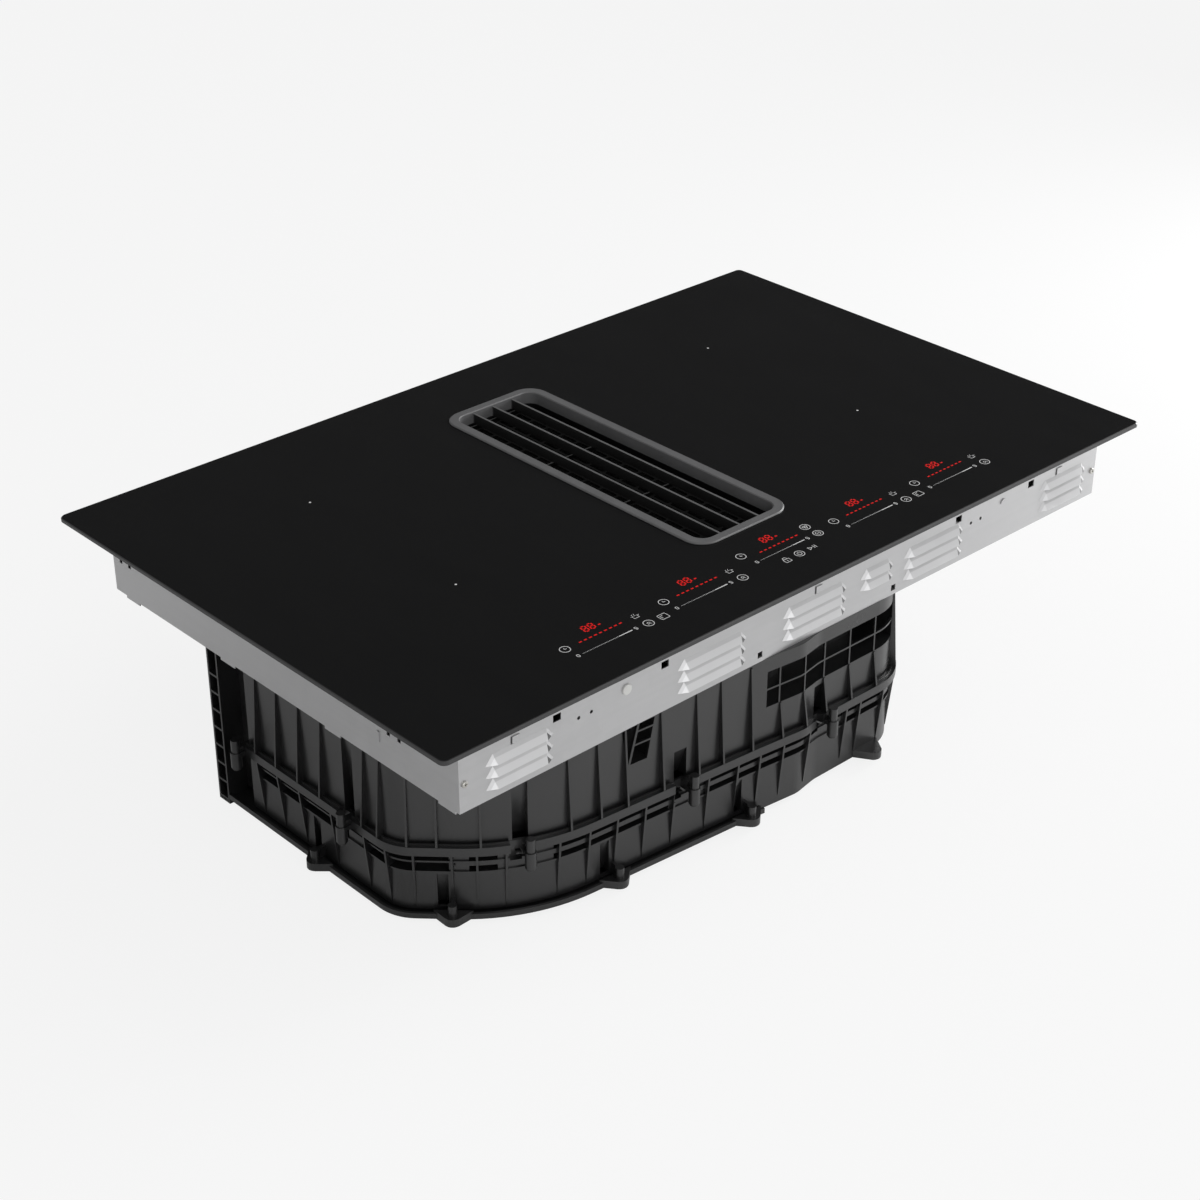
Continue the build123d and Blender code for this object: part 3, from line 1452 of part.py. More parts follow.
# ---------------------------------------------------------------- electronics
def make_power_board(side):
    """Generator board with its filter capacitors, coils and stand-offs."""
    x = side * power_board_x
    y = power_board_y
    z0 = pan_top + standoff_height
    z1 = z0 + board_thick
    half_x = power_board_width / 2
    half_y = power_board_depth / 2
    board = block(x - half_x, x + half_x, y - half_y, y + half_y, z0, z1)
    pieces = []
    for dx in (-half_x + 30, half_x - 30):
        for dy in (-half_y + 8, half_y - 8):
            pieces.append(rod(x + dx, y + dy, pan_top, z0, 7))
    for number in range(3):
        pieces.append(rod(x - half_x + 48 + number * 26, y + half_y - 32, z1, z1 + 28, 22))
    for number in range(4):
        cx = x + half_x - 36 - number * 24
        pieces.append(block(cx - 9, cx + 9, y + half_y - 46, y + half_y - 16, z1, z1 + 20))
    for number in range(2):
        cx = x + half_x - 40 - number * 50
        choke = rod(cx, y - half_y + 30, z1, z1 + 14, 34)
        pieces.append(choke - rod(cx, y - half_y + 30, z1 + 2, z1 + 14, 14))
    pieces.append(block(x - half_x + 20, x - half_x + 60, y - half_y + 14, y - half_y + 24,
                        z1, z1 + 12))
    return board + pieces


def make_heat_sink(side):
    """Extruded heat sink along the middle of the generator board."""
    x = side * power_board_x
    y = power_board_y - 4
    z0 = pan_top + standoff_height + board_thick
    half_l = sink_length / 2
    half_w = sink_width / 2
    sink = block(x - half_l, x + half_l, y - half_w / 2, y + half_w / 2, z0, z0 + 5)
    fins = []
    for number in range(sink_fin_count):
        fy = y - half_w / 2 + 0.9 + number * (half_w - 1.8) / (sink_fin_count - 1)
        fins.append(block(x - half_l, x + half_l, fy - 0.7, fy + 0.7, z0 + 4, z0 + sink_height))
    return sink + fins


def make_blower_case(side):
    """Flat radial blower that draws room air through the floor pan over the heat sink."""
    x = side * blower_x
    y = blower_y
    z0 = pan_top
    z1 = z0 + blower_height
    half = blower_size / 2
    case = slab(blower_size, blower_size, 12, z0, z1, x=x, y=y)
    case -= rod(x, y, z0 + 2, z1 - 2, blower_size - 6)
    case -= rod(x, y, z0, z0 + 2, blower_inlet)
    case -= block(x - half + 6, x - 2, y - half, y, z0 + 2, z1 - 2)
    case += rod(x, y, z1 - 8, z1 - 2, 12)
    return case + rod(x, y, z0 + 8, z1 - 8, spindle_diameter)


def make_blower_rotor(side):
    x = side * blower_x
    y = blower_y
    z0 = pan_top + 4
    z1 = pan_top + blower_height - 10
    radius = blower_rotor / 2
    disc = rod(0, 0, z1 - 2, z1, blower_rotor)
    hub = rod(0, 0, z0 + 3, z1, 26)
    blade = block(radius - 9, radius - 0.5, -0.5, 0.5, z0, z1 - 1)
    blades = []
    for number in range(blower_blades):
        turn = Rot(0, 0, 360 * number / blower_blades)
        blades.append(turn * blade)
    ring = rod(0, 0, z0, z0 + 1.5, blower_rotor) - rod(0, 0, z0, z0 + 1.5, blower_rotor - 4)
    bore = rod(0, 0, z0, z1, spindle_diameter + 2 * spindle_clearance)
    return Pos(x, y, 0) * (disc + hub + ring + blades - bore)


def make_control_tray():
    """The moulded tray that presses the touch board against the glass."""
    half_x = control_width / 2
    half_y = control_depth / 2
    board_z = glass_bottom - display_height - board_thick
    z0 = board_z - 3.0
    tray = block(-half_x - 2, half_x + 2, control_y - half_y - 2, control_y + half_y + 2,
                 z0, glass_bottom)
    tray -= block(-half_x, half_x, control_y - half_y, control_y + half_y, z0 + 2, glass_bottom)
    for side in (-1, 0, 1):
        x = side * (half_x - 20)
        for dy in (-half_y + 5, half_y - 5):
            tray += rod(x, control_y + dy, z0 + 1, board_z, 6)
    return tray


def make_control_board():
    """Touch board with a sprung pad under every touch field."""
    half_x = control_width / 2 - 0.5
    half_y = control_depth / 2 - 0.5
    z0 = glass_bottom - display_height - board_thick
    z1 = z0 + board_thick
    board = block(-half_x, half_x, control_y - half_y, control_y + half_y, z0, z1)
    pads = []
    for x in display_x:
        for step in (-36, -12, 12, 36):
            pads.append(rod(x + step, control_y - 13, z1, glass_bottom, 8))
    return board + pads


def make_displays():
    """Five red number displays under the glass, one to each slider."""
    modules = []
    z0 = glass_bottom - display_height
    for x in display_x:
        modules.append(block(x - display_width / 2, x + display_width / 2,
                             display_y - display_depth / 2, display_y + display_depth / 2,
                             z0, glass_bottom - lift_gap))
    return modules


def make_terminal_block():
    """Mains terminals on the floor pan, behind the opening in the rear panel."""
    y1 = casing_back - sheet - 6
    y0 = y1 - terminal_depth
    x0 = terminal_x - terminal_width / 2
    x1 = terminal_x + terminal_width / 2
    base = block(x0, x1, y0, y1, pan_top, pan_top + terminal_height)
    slots = []
    for number in range(5):
        x = x0 + 8 + number * (terminal_width - 16) / 4
        slots.append(rod(x, (y0 + y1) / 2, pan_top + 12, pan_top + terminal_height, 5))
        slots.append(block(x - 3, x + 3, y1 - 6, y1, pan_top + 6, pan_top + 14))
    return base - slots


def make_filter_board():
    """Mains filter board between the terminals and the right generator board."""
    x = terminal_x + 17
    y = casing_back - 90
    z0 = pan_top + standoff_height
    half_x = filter_board_width / 2
    half_y = filter_board_depth / 2
    board = block(x - half_x, x + half_x, y - half_y, y + half_y, z0, z0 + board_thick)
    pieces = []
    for dx in (-half_x + 6, half_x - 6):
        for dy in (-half_y + 6, half_y - 6):
            pieces.append(rod(x + dx, y + dy, pan_top, z0, 6))
    top = z0 + board_thick
    pieces.append(block(x - 36, x - 12, y - 20, y + 20, top, top + 18))
    pieces.append(rod(x + 10, y, top, top + 16, 30) - rod(x + 10, y, top + 2, top + 16, 12))
    return board + pieces


# ---------------------------------------------------------------- write the sub-parts
save("glass_top", make_glass())
save("worktop_seal", make_seal())
save("glass_bond", *make_bond())
save("front_panel", make_front_panel())
save("side_panel_left", make_side_panel(-1))
save("side_panel_right", make_side_panel(1))
save("rear_panel", make_rear_panel())
save("floor_pan", make_floor_pan())
save("casing_screws", *make_casing_screws())
save("panel_plug", make_panel_plug())
save("grille", make_grille())
save("intake_collar", make_collar())
save("filter_frame", make_filter_frame())
save("filter_mesh", *make_filter_mesh())
save("filter_basket", make_basket())
save("upper_housing", make_upper_housing())
save("lower_housing", make_lower_housing())
save("bottom_cover", make_bottom_cover())
save("housing_gasket", gasket_ring())
save("flange_screws", *make_flange_screws())
save("cover_screws", *make_cover_screws())
save("housing_bolts", *make_housing_bolts())
save("scroll_shell", make_scroll_shell())
save("inlet_ring", make_inlet_ring())
save("impeller", make_impeller())
save("motor_rotor", make_motor_rotor())
save("motor_shaft", make_motor_shaft())
save("motor_base", make_motor_base())
save("motor_bearings", *make_motor_bearings())
save("motor_stator", make_motor_stator())
save("motor_windings", *make_motor_windings())
save("motor_dampers", *make_motor_dampers())
save("motor_screws", *make_motor_screws())
for number, (x, y) in enumerate(zone_places(), 1):
    save(f"coil_carrier_{number}", make_coil_carrier(x, y))
    save(f"coil_winding_{number}", make_coil_winding(x, y))
save("coil_ferrites", *make_ferrites())
save("coil_sensors", *make_sensors())
save("plate_posts", *make_plate_posts())
for side, name in ((-1, "left"), (1, "right")):
    save(f"coil_plate_{name}", make_coil_plate(side))
    save(f"power_board_{name}", make_power_board(side))
    save(f"heat_sink_{name}", make_heat_sink(side))
    save(f"blower_case_{name}", make_blower_case(side))
    save(f"blower_rotor_{name}", make_blower_rotor(side))
save("control_tray", make_control_tray())
save("control_board", make_control_board())
save("display_modules", *make_displays())
save("terminal_block", make_terminal_block())
save("filter_board", make_filter_board())
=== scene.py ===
# %% [markdown]
# # A downdraft induction hob, dressed for the camera
# The solids of the hob come in as a fixed frame: glass, casing, grille, filter and fan housing are
# already at their real size. This lesson gives each of them its finish, prints the touch controls
# on the glass and sets up a plain photo studio. Everything is in metres, with the origin in the
# middle of the glass at the height of the worktop, +X to the cook's right and -Y to the cook.

# %% Load the frame
import json
from math import cos, pi, radians, sin

import bmesh
import bpy
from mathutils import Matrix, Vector


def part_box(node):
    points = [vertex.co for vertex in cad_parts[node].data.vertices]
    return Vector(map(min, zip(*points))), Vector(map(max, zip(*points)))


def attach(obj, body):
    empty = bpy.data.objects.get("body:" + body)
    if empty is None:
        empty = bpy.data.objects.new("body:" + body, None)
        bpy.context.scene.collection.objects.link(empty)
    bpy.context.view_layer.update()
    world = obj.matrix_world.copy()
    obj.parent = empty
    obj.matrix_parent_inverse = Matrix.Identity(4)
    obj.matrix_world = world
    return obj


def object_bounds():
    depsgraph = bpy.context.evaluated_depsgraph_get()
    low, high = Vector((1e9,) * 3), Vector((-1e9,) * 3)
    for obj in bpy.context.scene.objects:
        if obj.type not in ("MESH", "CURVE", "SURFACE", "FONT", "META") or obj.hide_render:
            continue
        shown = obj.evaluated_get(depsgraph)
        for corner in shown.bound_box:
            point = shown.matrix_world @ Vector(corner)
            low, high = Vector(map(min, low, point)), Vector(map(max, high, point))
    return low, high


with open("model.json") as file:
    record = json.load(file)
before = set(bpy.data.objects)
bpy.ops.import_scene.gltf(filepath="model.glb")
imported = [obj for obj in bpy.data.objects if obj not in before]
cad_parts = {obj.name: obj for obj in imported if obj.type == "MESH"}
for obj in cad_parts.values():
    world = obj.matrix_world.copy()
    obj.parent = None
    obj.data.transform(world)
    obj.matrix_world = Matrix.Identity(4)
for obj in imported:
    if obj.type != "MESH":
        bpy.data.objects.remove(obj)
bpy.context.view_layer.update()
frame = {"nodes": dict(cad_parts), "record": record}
mm = 0.001
glass_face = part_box("glass_top")[1].z
print("solids:", len(frame["nodes"]), "glass face at", round(glass_face / mm, 2), "mm")

# %% [markdown]
# ## Camera
# The hob is seen from the front left corner, from above, with a 70 mm lens. A view can be matched
# by eye, but a small error in the lens bends every proportion. The numbers here come from the
# vanishing lines of the glass's four edges, so straight edges land where the picture has them.

# %% Camera
camera = bpy.data.objects.new("camera", bpy.data.cameras.new("camera"))
camera.data.lens = 70
camera.data.sensor_width = 36
camera.location = (-1.2723, -1.3470, 0.9296)
camera.rotation_euler = (radians(60.219), 0, radians(-42.810))
bpy.context.scene.collection.objects.link(camera)
bpy.context.scene.camera = camera
bpy.context.scene.view_settings.view_transform = "Standard"
print("camera", round(camera.location.length, 2), "m from the middle of the hob")

# %% [markdown]
# ## A small language for finishes
# A finish is a graph of nodes. It can be drawn in the editor or linked line by line, but written as
# sums and products it reads like the recipe it is. So one small class wraps a socket and turns
# arithmetic into Math nodes. Every other node comes from one method that takes the node's type, its
# settings and the values or links of its sockets.


# %% Sockets as values
class Level:
    """A number that varies over a surface; arithmetic on it adds Math nodes."""

    def __init__(self, finish, socket):
        self.finish = finish
        self.socket = socket

    def math(self, operation, first, second):
        return self.finish.node("ShaderNodeMath", {"operation": operation},
                                {0: first, 1: second})

    def __add__(self, other):
        return self.math("ADD", self, other)

    def __radd__(self, other):
        return self.math("ADD", other, self)

    def __sub__(self, other):
        return self.math("SUBTRACT", self, other)

    def __rsub__(self, other):
        return self.math("SUBTRACT", other, self)

    def __mul__(self, other):
        return self.math("MULTIPLY", self, other)

    def __rmul__(self, other):
        return self.math("MULTIPLY", other, self)

    def __abs__(self):
        return self.math("ABSOLUTE", self, 0)


print("a level can be added, subtracted, multiplied and made positive")


# %% Finishes
class Finish:
    """One material: its nodes come from node() and its surface from surface()."""

    def __init__(self, owner):
        self.tree = owner.node_tree
        self.tree.nodes.clear()

    def node(self, kind, settings=None, sockets=None, output=0):
        """A new node with its settings and sockets filled in; gives its output back."""
        made = self.tree.nodes.new(kind)
        for key, value in (settings or {}).items():
            setattr(made, key, value)
        for key, value in (sockets or {}).items():
            self.plug(made.inputs[key], value)
        return None if output is None else Level(self, made.outputs[output])

    def plug(self, socket, value):
        """Links a level to a socket, or sets the socket to a plain number or colour."""
        if isinstance(value, Level):
            self.tree.links.new(value.socket, socket)
        elif socket.type == "RGBA":
            socket.default_value = (*value[:3], 1)
        else:
            socket.default_value = value

    def place(self, stretch=(1, 1, 1)):
        """Where a point lies on the object in metres, stretched along each axis."""
        here = self.node("ShaderNodeTexCoord", output=3)
        if stretch == (1, 1, 1):
            return here
        return self.node("ShaderNodeVectorMath", {"operation": "MULTIPLY"},
                         {0: here, 1: stretch})

    def along(self, axis):
        """How far a point lies along axis 0, 1 or 2, in metres."""
        return self.node("ShaderNodeSeparateXYZ", {}, {0: self.place()}, output=axis)

    def noise(self, size, detail=2.0, stretch=(1, 1, 1)):
        """Cloudy noise from 0 to 1 with blotches of about that size in metres."""
        return self.node("ShaderNodeTexNoise", {},
                         {"Vector": self.place(stretch), "Scale": 1 / size, "Detail": detail})

    def cells(self, size, stretch=(1, 1, 1)):
        """A patchwork of cells, each with its own level from 0 to 1."""
        patch = self.node("ShaderNodeTexVoronoi", {"feature": "F1"},
                          {"Vector": self.place(stretch), "Scale": 1 / size}, output=1)
        return self.node("ShaderNodeSeparateColor", {}, {0: patch})

    def pits(self, size):
        """Distance to the middle of the nearest cell: rounded pits of about that size."""
        return self.node("ShaderNodeTexVoronoi", {"feature": "F1"},
                         {"Vector": self.place(), "Scale": 1 / size}, output=0)

    def facing(self, axis):
        """How far the surface faces along axis 0, 1 or 2, from -1 to 1."""
        normal = self.node("ShaderNodeTexCoord", output=1)
        return self.node("ShaderNodeSeparateXYZ", {}, {0: normal}, output=axis)

    def waves(self, level, pitch):
        """Ridges from 0 to 1 each time the level grows by a pitch in metres."""
        return self.node("ShaderNodeMath", {"operation": "SINE"},
                         {0: level * (2 * pi / pitch)}) * 0.5 + 0.5

    def rise(self, level, low, high):
        """Goes smoothly from 0 to 1 while the level goes from low to high."""
        return self.node("ShaderNodeMapRange", {"interpolation_type": "SMOOTHSTEP"},
                         {0: level, 1: low, 2: high})

    def blend(self, level, colour, other):
        """Goes from one colour to the other while the level goes from 0 to 1."""
        return self.node("ShaderNodeMix", {"data_type": "RGBA"},
                         {0: level, 6: colour, 7: other}, output=2)

    def bump(self, height, depth):
        """Relief that many metres deep."""
        return self.node("ShaderNodeBump", {}, {"Height": height, "Distance": depth,
                                                "Strength": 1.0})

    def output(self, shader, kind="ShaderNodeOutputMaterial"):
        self.node(kind, {}, {0: shader}, output=None)

    def surface(self, **sockets):
        """The shader itself; coat_weight=0.3 sets the socket named Coat Weight."""
        names = {key: key.replace("_", " ").title() for key in sockets}
        names["specular"] = "Specular IOR Level"
        shader = self.node("ShaderNodeBsdfPrincipled", {},
                           {names[key]: value for key, value in sockets.items()})
        self.output(shader)


def finish_named(name):
    """A new material and the finish that fills it."""
    material = bpy.data.materials.new(name)
    material.use_nodes = True
    return material, Finish(material)


def shade(colour, factor):
    """A colour made darker or lighter."""
    return tuple(min(channel * factor, 1.0) for channel in colour)


print("finish helpers ready")

# %% [markdown]
# ## Black glass
# The cooking surface is glass-ceramic, dyed right through. It could be a clear shader over a black
# plate, but no light comes back out of dyed glass, so an opaque, nearly black gloss gives the same
# picture with less noise. It is polished, but wiping leaves faint smears, and they show in the
# gloss and not in the colour. The rolled sheet is never quite flat either: a long, very shallow
# waviness bends what it mirrors. Just below the face the colour turns to a dark grey: partly the
# matt grey of the ground edge, partly a painted reflection of the floor in the edge, which the weak
# gloss of this glass leaves out.

# %% Black glass
# Partly the ground edge's own grey, partly a painted reflection of the floor in the edge
ground_edge_and_reflection = (0.055, 0.055, 0.056)
black_glass, finish = finish_named("black glass")
smears = finish.noise(0.03, 4, stretch=(1, 0.35, 1))
polished = finish.blend(smears, (0.0056, 0.0056, 0.0058), (0.0070, 0.0070, 0.0072))
face = finish.rise(finish.along(2), glass_face - 0.7 * mm, glass_face - 0.3 * mm)
finish.surface(base_color=finish.blend(face, ground_edge_and_reflection, polished),
               specular=0.16, roughness=0.13 + smears * 0.08,
               normal=finish.bump(finish.noise(0.09, 1), 0.00003))
print("glass smears 30 mm long")

# %% [markdown]
# ## Galvanised sheet of the casing
# Hot-dip galvanised sheet is pale grey and satin. Rolling leaves faint streaks along the strip, and
# zinc crystals give a soft patchwork that changes the gloss more than the colour. A picture of zinc
# would repeat and would have to be fitted to every fold, while noise and cells in space run on
# across all panels. A metal takes its brightness from what it mirrors, so the roughness is high
# enough to smear the studio into a tone.


# %% Sheet metal
def sheet_metal(name, colour, roughness, crystal=0.012, streak=(0.03, 0.03, 1), metallic=0.75,
                painted_shade=None, pale=None):
    """Rolled sheet: streaks, crystals and scratches; painted shade in black, a painted highlight
    lighter.
    """
    material, finish = finish_named(name)
    streaks = finish.noise(0.004, 3, streak)
    patch = finish.cells(crystal)
    tone = streaks * 0.6 + patch * 0.25
    scratches = finish.noise(0.0009, 2, streak)
    skin = finish.blend(tone, shade(colour, 0.93), shade(colour, 1.06))
    # Painted highlight: lighter where the pale mask is 1
    if pale:
        skin = finish.blend(pale(finish), skin, shade(colour, 1.2))
    # Painted shade: black where this mask is 1
    if painted_shade:
        skin = finish.blend(painted_shade(finish), skin, (0.004, 0.004, 0.004))
    finish.surface(base_color=skin, metallic=metallic,
                   roughness=roughness + (patch - 0.5) * 0.06,
                   normal=finish.bump(scratches, 0.000006))
    return material


print("sheet metal recipe ready")

# %% [markdown]
# ### Louvres of the front panel
# The louvres carry painted light: the leaning hoods, which face up towards the lamps, are painted a
# little paler as a painted highlight, and their right ends, which face away from the light, are
# painted darker as painted shade. The faces could be picked one by one and given materials of
# their own. Here both are found by how far forward the sheet stands and which way it faces, so one
# material serves the whole casing, also when a louvre moves, and the flat panel keeps its tone.

# %% Louvres and casing
louvre_reach = 3.0 * mm
end_shade_strength = 0.85


def louvre_skin(finish):
    """1 on the front panel's louvres: all that lies close behind its frontmost point."""
    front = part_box("front_panel")[0].y
    return 1 - finish.rise(finish.along(1), front + louvre_reach * 0.9, front + louvre_reach)


def louvre_hood_highlight(finish):
    """1 on the leaning faces of the louvres, which get a painted highlight."""
    lean = finish.facing(2)
    return louvre_skin(finish) * finish.rise(lean, 0.05, 0.2) * (1 - finish.rise(lean, 0.8, 0.9))


def louvre_end_shade(finish):
    """Above 0 on the right ends of the louvres, which get painted shade."""
    return louvre_skin(finish) * finish.rise(finish.facing(0), 0.15, 0.35) * end_shade_strength


# Painted highlight on the louvre hoods, painted shade on their right ends
zinc_sheet = sheet_metal("galvanised sheet", (0.47, 0.47, 0.475), 0.38, painted_shade=louvre_end_shade,
                         pale=louvre_hood_highlight)
print("louvre skin lies within", louvre_reach / mm, "mm of the frontmost point")

# %% [markdown]
# ### Filter frame, shafts and aluminium
# The frame of the grease filter is brushed stainless steel, painted black below its upper edge as
# painted shade for the dark inside of the well; along the cross bars the upper edge is painted
# partly black too, and elsewhere it keeps the steel's own colour. A mask by height finds that edge
# at any size. The steel of the shafts is drawn and a little dull, and the bearings are ground
# smooth. The aluminium of plates and heat sinks is pale, with streaks along the rolling or the
# extrusion.

# %% Other metals
edge_low, edge_high = 0.5 * mm, 0.1 * mm
bar_shade_share = 0.6


def shade_below_rim(finish):
    """Painted shade: 1 on the filter frame below its upper edge, lower on that edge along its cross
    bars.
    """
    low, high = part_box("filter_frame")
    bars = 1 - finish.rise(abs(finish.along(0)), high.x - 6 * mm, high.x - 4 * mm)
    edge = finish.rise(finish.along(2), high.z - edge_low, high.z - edge_high)
    return 1 - edge * (1 - bars * bar_shade_share)


# Painted shade: the frame is black below its upper edge
stainless = sheet_metal("brushed stainless steel", (0.52, 0.52, 0.52), 0.3, 0.03, (1, 0.02, 1), 0.6,
                        painted_shade=shade_below_rim)
plate_aluminium = sheet_metal("mill aluminium", (0.62, 0.63, 0.64), 0.36, 0.03, (0.02, 1, 1))
sink_aluminium = sheet_metal("extruded aluminium", (0.58, 0.59, 0.60), 0.4, 0.02, (0.02, 1, 1))
rotor_steel = sheet_metal("drawn steel", (0.36, 0.36, 0.37), 0.35, 0.02, (1, 1, 0.05), 0.9)
bearing_steel = sheet_metal("ground bearing steel", (0.62, 0.62, 0.63), 0.18, 0.05, (1, 1, 0.1), 1)
print("sheet metals:", len(bpy.data.materials) - 1)

# %% [markdown]
# ## Plated screws and pillars
# Small turned parts are zinc plated: a bright skin with a slight warm tint, and tool marks that
# run round the part. The marks could follow each screw's own axis, but they are finer than a pixel
# in most views, so a fine mottle stands for them.


# %% Plated parts
def plated(name, colour, roughness):
    """A plated turned part: a mottled skin with fine tool marks."""
    material, finish = finish_named(name)
    mottle = finish.noise(0.0012, 3)
    finish.surface(base_color=finish.blend(mottle, shade(colour, 0.8), shade(colour, 1.12)),
                   metallic=0.9, roughness=roughness + (mottle - 0.5) * 0.2,
                   normal=finish.bump(finish.noise(0.0004, 2), 0.00001))
    return material


screw_steel = plated("zinc plated screws", (0.50, 0.49, 0.46), 0.32)
post_steel = plated("nickel plated pillars", (0.60, 0.59, 0.56), 0.25)
print("plated parts ready")

# %% [markdown]
# ## Black plastic of the fan housing
# The housing is moulded from black glass-filled plastic. Its own colour is nearly nothing: what one
# sees is the pale floor in its gloss, so walls look dark grey, while pockets and the flanks of the
# ribs, which only mirror more plastic, stay black. A matt dark grey would match the walls as well,
# but would turn the pockets grey too. A fine spark-eroded grain breaks the highlight up, and slow
# flow marks from the moulding change the gloss a little. The same recipe serves the other mouldings
# and, with a finer grain, the black oxide on the housing's screws.


# %% Moulded plastic
def moulded(name, colour, roughness, grain=0.0006, relief=0.00002, specular=0.5):
    """Moulded plastic: flow marks in the gloss and a fine grain in the relief."""
    material, finish = finish_named(name)
    flow = finish.noise(0.05, 3)
    finish.surface(base_color=finish.blend(flow, shade(colour, 0.8), shade(colour, 1.2)),
                   specular=specular, roughness=roughness + (flow - 0.5) * 0.12,
                   normal=finish.bump(finish.noise(grain, 2), relief))
    return material


black_plastic = moulded("housing plastic", (0.007, 0.007, 0.0073), 0.3, specular=0.75)
impeller_plastic = moulded("wheel plastic", (0.030, 0.031, 0.034), 0.42)
blower_plastic = moulded("blower plastic", (0.022, 0.022, 0.022), 0.45)
carrier_plastic = moulded("coil carrier", (0.22, 0.20, 0.17), 0.6, 0.002, 0.00006)
tray_plastic = moulded("control tray", (0.60, 0.60, 0.56), 0.5)
screw_black = moulded("blackened screws", (0.012, 0.012, 0.012), 0.4, 0.0005)
terminal_plastic = moulded("terminal block", (0.66, 0.66, 0.62), 0.38)
white_nylon = moulded("white nylon", (0.62, 0.62, 0.60), 0.32)
print("plastics ready")

# %% [markdown]
# ## Coated grille and filter mesh
# The grille is a casting with a dark grey textured enamel: small rounded lumps less than a
# millimetre across that catch the light. Modelled lumps would be thousands of faces, so they are
# relief in the finish. The flanks of its fins are painted black as painted shade for the shade down
# in the opening, so that only their upper edges draw lines across the dark opening. The filter
# below is coated matt black too and shows only as a dark lattice.


# %% Textured coats
def pebbled(name, colour, roughness, lump, relief, specular=0.5, painted_shade=None):
    """A sprayed coat whose droplets have set as rounded lumps, painted black as painted shade by a
    mask.
    """
    material, finish = finish_named(name)
    lumps = finish.pits(lump)
    cloud = finish.noise(0.02, 3)
    coat = finish.blend(cloud, shade(colour, 0.86), shade(colour, 1.14))
    # Painted shade: black where the mask is 1
    if painted_shade:
        coat = finish.blend(painted_shade(finish), coat, (0.003, 0.003, 0.003))
    finish.surface(base_color=coat, specular=specular, roughness=roughness + (cloud - 0.5) * 0.1,
                   normal=finish.bump(1 - lumps, relief))
    return material


fin_reach = 33 * mm
rim_width = 10.25 * mm


def shaded_fin_flanks(finish):
    """1 on the sides of the three fins, just below their upper edges, where painted shade goes."""
    low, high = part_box("grille")
    middle = (low.y + high.y) / 2
    rim = (high.y - low.y) / 2 - rim_width
    inside_x = 1 - finish.rise(abs(finish.along(0)), fin_reach - mm, fin_reach + mm)
    inside_y = 1 - finish.rise(abs(finish.along(1) - middle), rim - 0.75 * mm, rim + 0.75 * mm)
    below = 1 - finish.rise(finish.along(2), glass_face - edge_low, glass_face - edge_high)
    return inside_x * inside_y * below


# Painted shade on the flanks of the fins
grille_coat = pebbled("grille enamel", (0.105, 0.105, 0.107), 0.5, 0.0007, 0.00008,
                      painted_shade=shaded_fin_flanks)
mesh_coat = pebbled("filter coat", (0.004, 0.004, 0.004), 0.6, 0.0005, 0.00005, 0.15)
print("coats ready")

# %% [markdown]
# ## Rubber, foam and silicone
# Soft seals are matt because their surface is full of pores. The foam under the glass has open
# pores half a millimetre wide, the silicone beads are smoother and follow the nozzle in slow
# swellings, and moulded rubber shows a light bloom of wax as a greyer cloud. Black paint with no
# gloss would look like a hole; pores and a little gloss keep the seals readable as soft matter.


# %% Seals
def rubbery(name, colour, roughness, pore, relief):
    """A soft seal: pores in the relief and a cloudy bloom in the colour."""
    material, finish = finish_named(name)
    bloom = finish.noise(0.015, 3)
    finish.surface(base_color=finish.blend(bloom, shade(colour, 0.75), shade(colour, 1.35)),
                   specular=0.35, roughness=roughness + (bloom - 0.5) * 0.1,
                   normal=finish.bump(finish.pits(pore), relief))
    return material


seal_foam = rubbery("seal foam", (0.035, 0.035, 0.035), 0.85, 0.0005, 0.0001)
silicone = rubbery("silicone bead", (0.02, 0.02, 0.02), 0.5, 0.006, 0.0002)
gasket_rubber = rubbery("gasket rubber", (0.018, 0.018, 0.018), 0.75, 0.0008, 0.00004)
damper_rubber = rubbery("damper rubber", (0.022, 0.022, 0.022), 0.7, 0.0009, 0.00004)
print("seals ready")

# %% [markdown]
# ## Copper of the four hob coils
# A hob coil is a flat spiral of twisted, varnished copper strands. Wound as a curve it would be a
# very heavy mesh for something that lies under the glass, so the solid is a flat ring and the turns
# are ridges of the finish. The four coils sit in a square pattern, so folding the plan about its
# middle lines brings them onto one another, and the distance from the folded middle gives every
# coil its turns. The twist shows as fine slanting strands.

# %% Flat coils
coil_low, coil_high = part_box("coil_winding_1")
coil_x = abs(coil_low.x + coil_high.x) / 2
coil_y = [sum(corner.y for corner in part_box(coil)) / 2
          for coil in ("coil_winding_1", "coil_winding_2")]
middle_y, half_y = sum(coil_y) / 2, abs(coil_y[0] - coil_y[1]) / 2
turn_pitch = 3.1 * mm
flat_copper, finish = finish_named("copper strands")
across = abs(finish.along(0)) - coil_x
depth = abs(finish.along(1) - middle_y) - half_y
radius = finish.node("ShaderNodeMath", {"operation": "SQRT"},
                     {0: across * across + depth * depth})
turns = finish.waves(radius, turn_pitch)
strands = finish.waves(finish.along(0) + finish.along(1) + radius * 1.5, 0.9 * mm)
# Painted shade: dark copper in the grooves between the turns, bright copper on their tops
finish.surface(base_color=finish.blend(turns, (0.16, 0.045, 0.018), (0.62, 0.27, 0.12)),
               metallic=0.85, roughness=0.34 + strands * 0.14,
               normal=finish.bump(turns + strands * 0.12, 0.0007))
print("coil turns:", round((coil_high.x - coil_low.x) / 2 / turn_pitch))

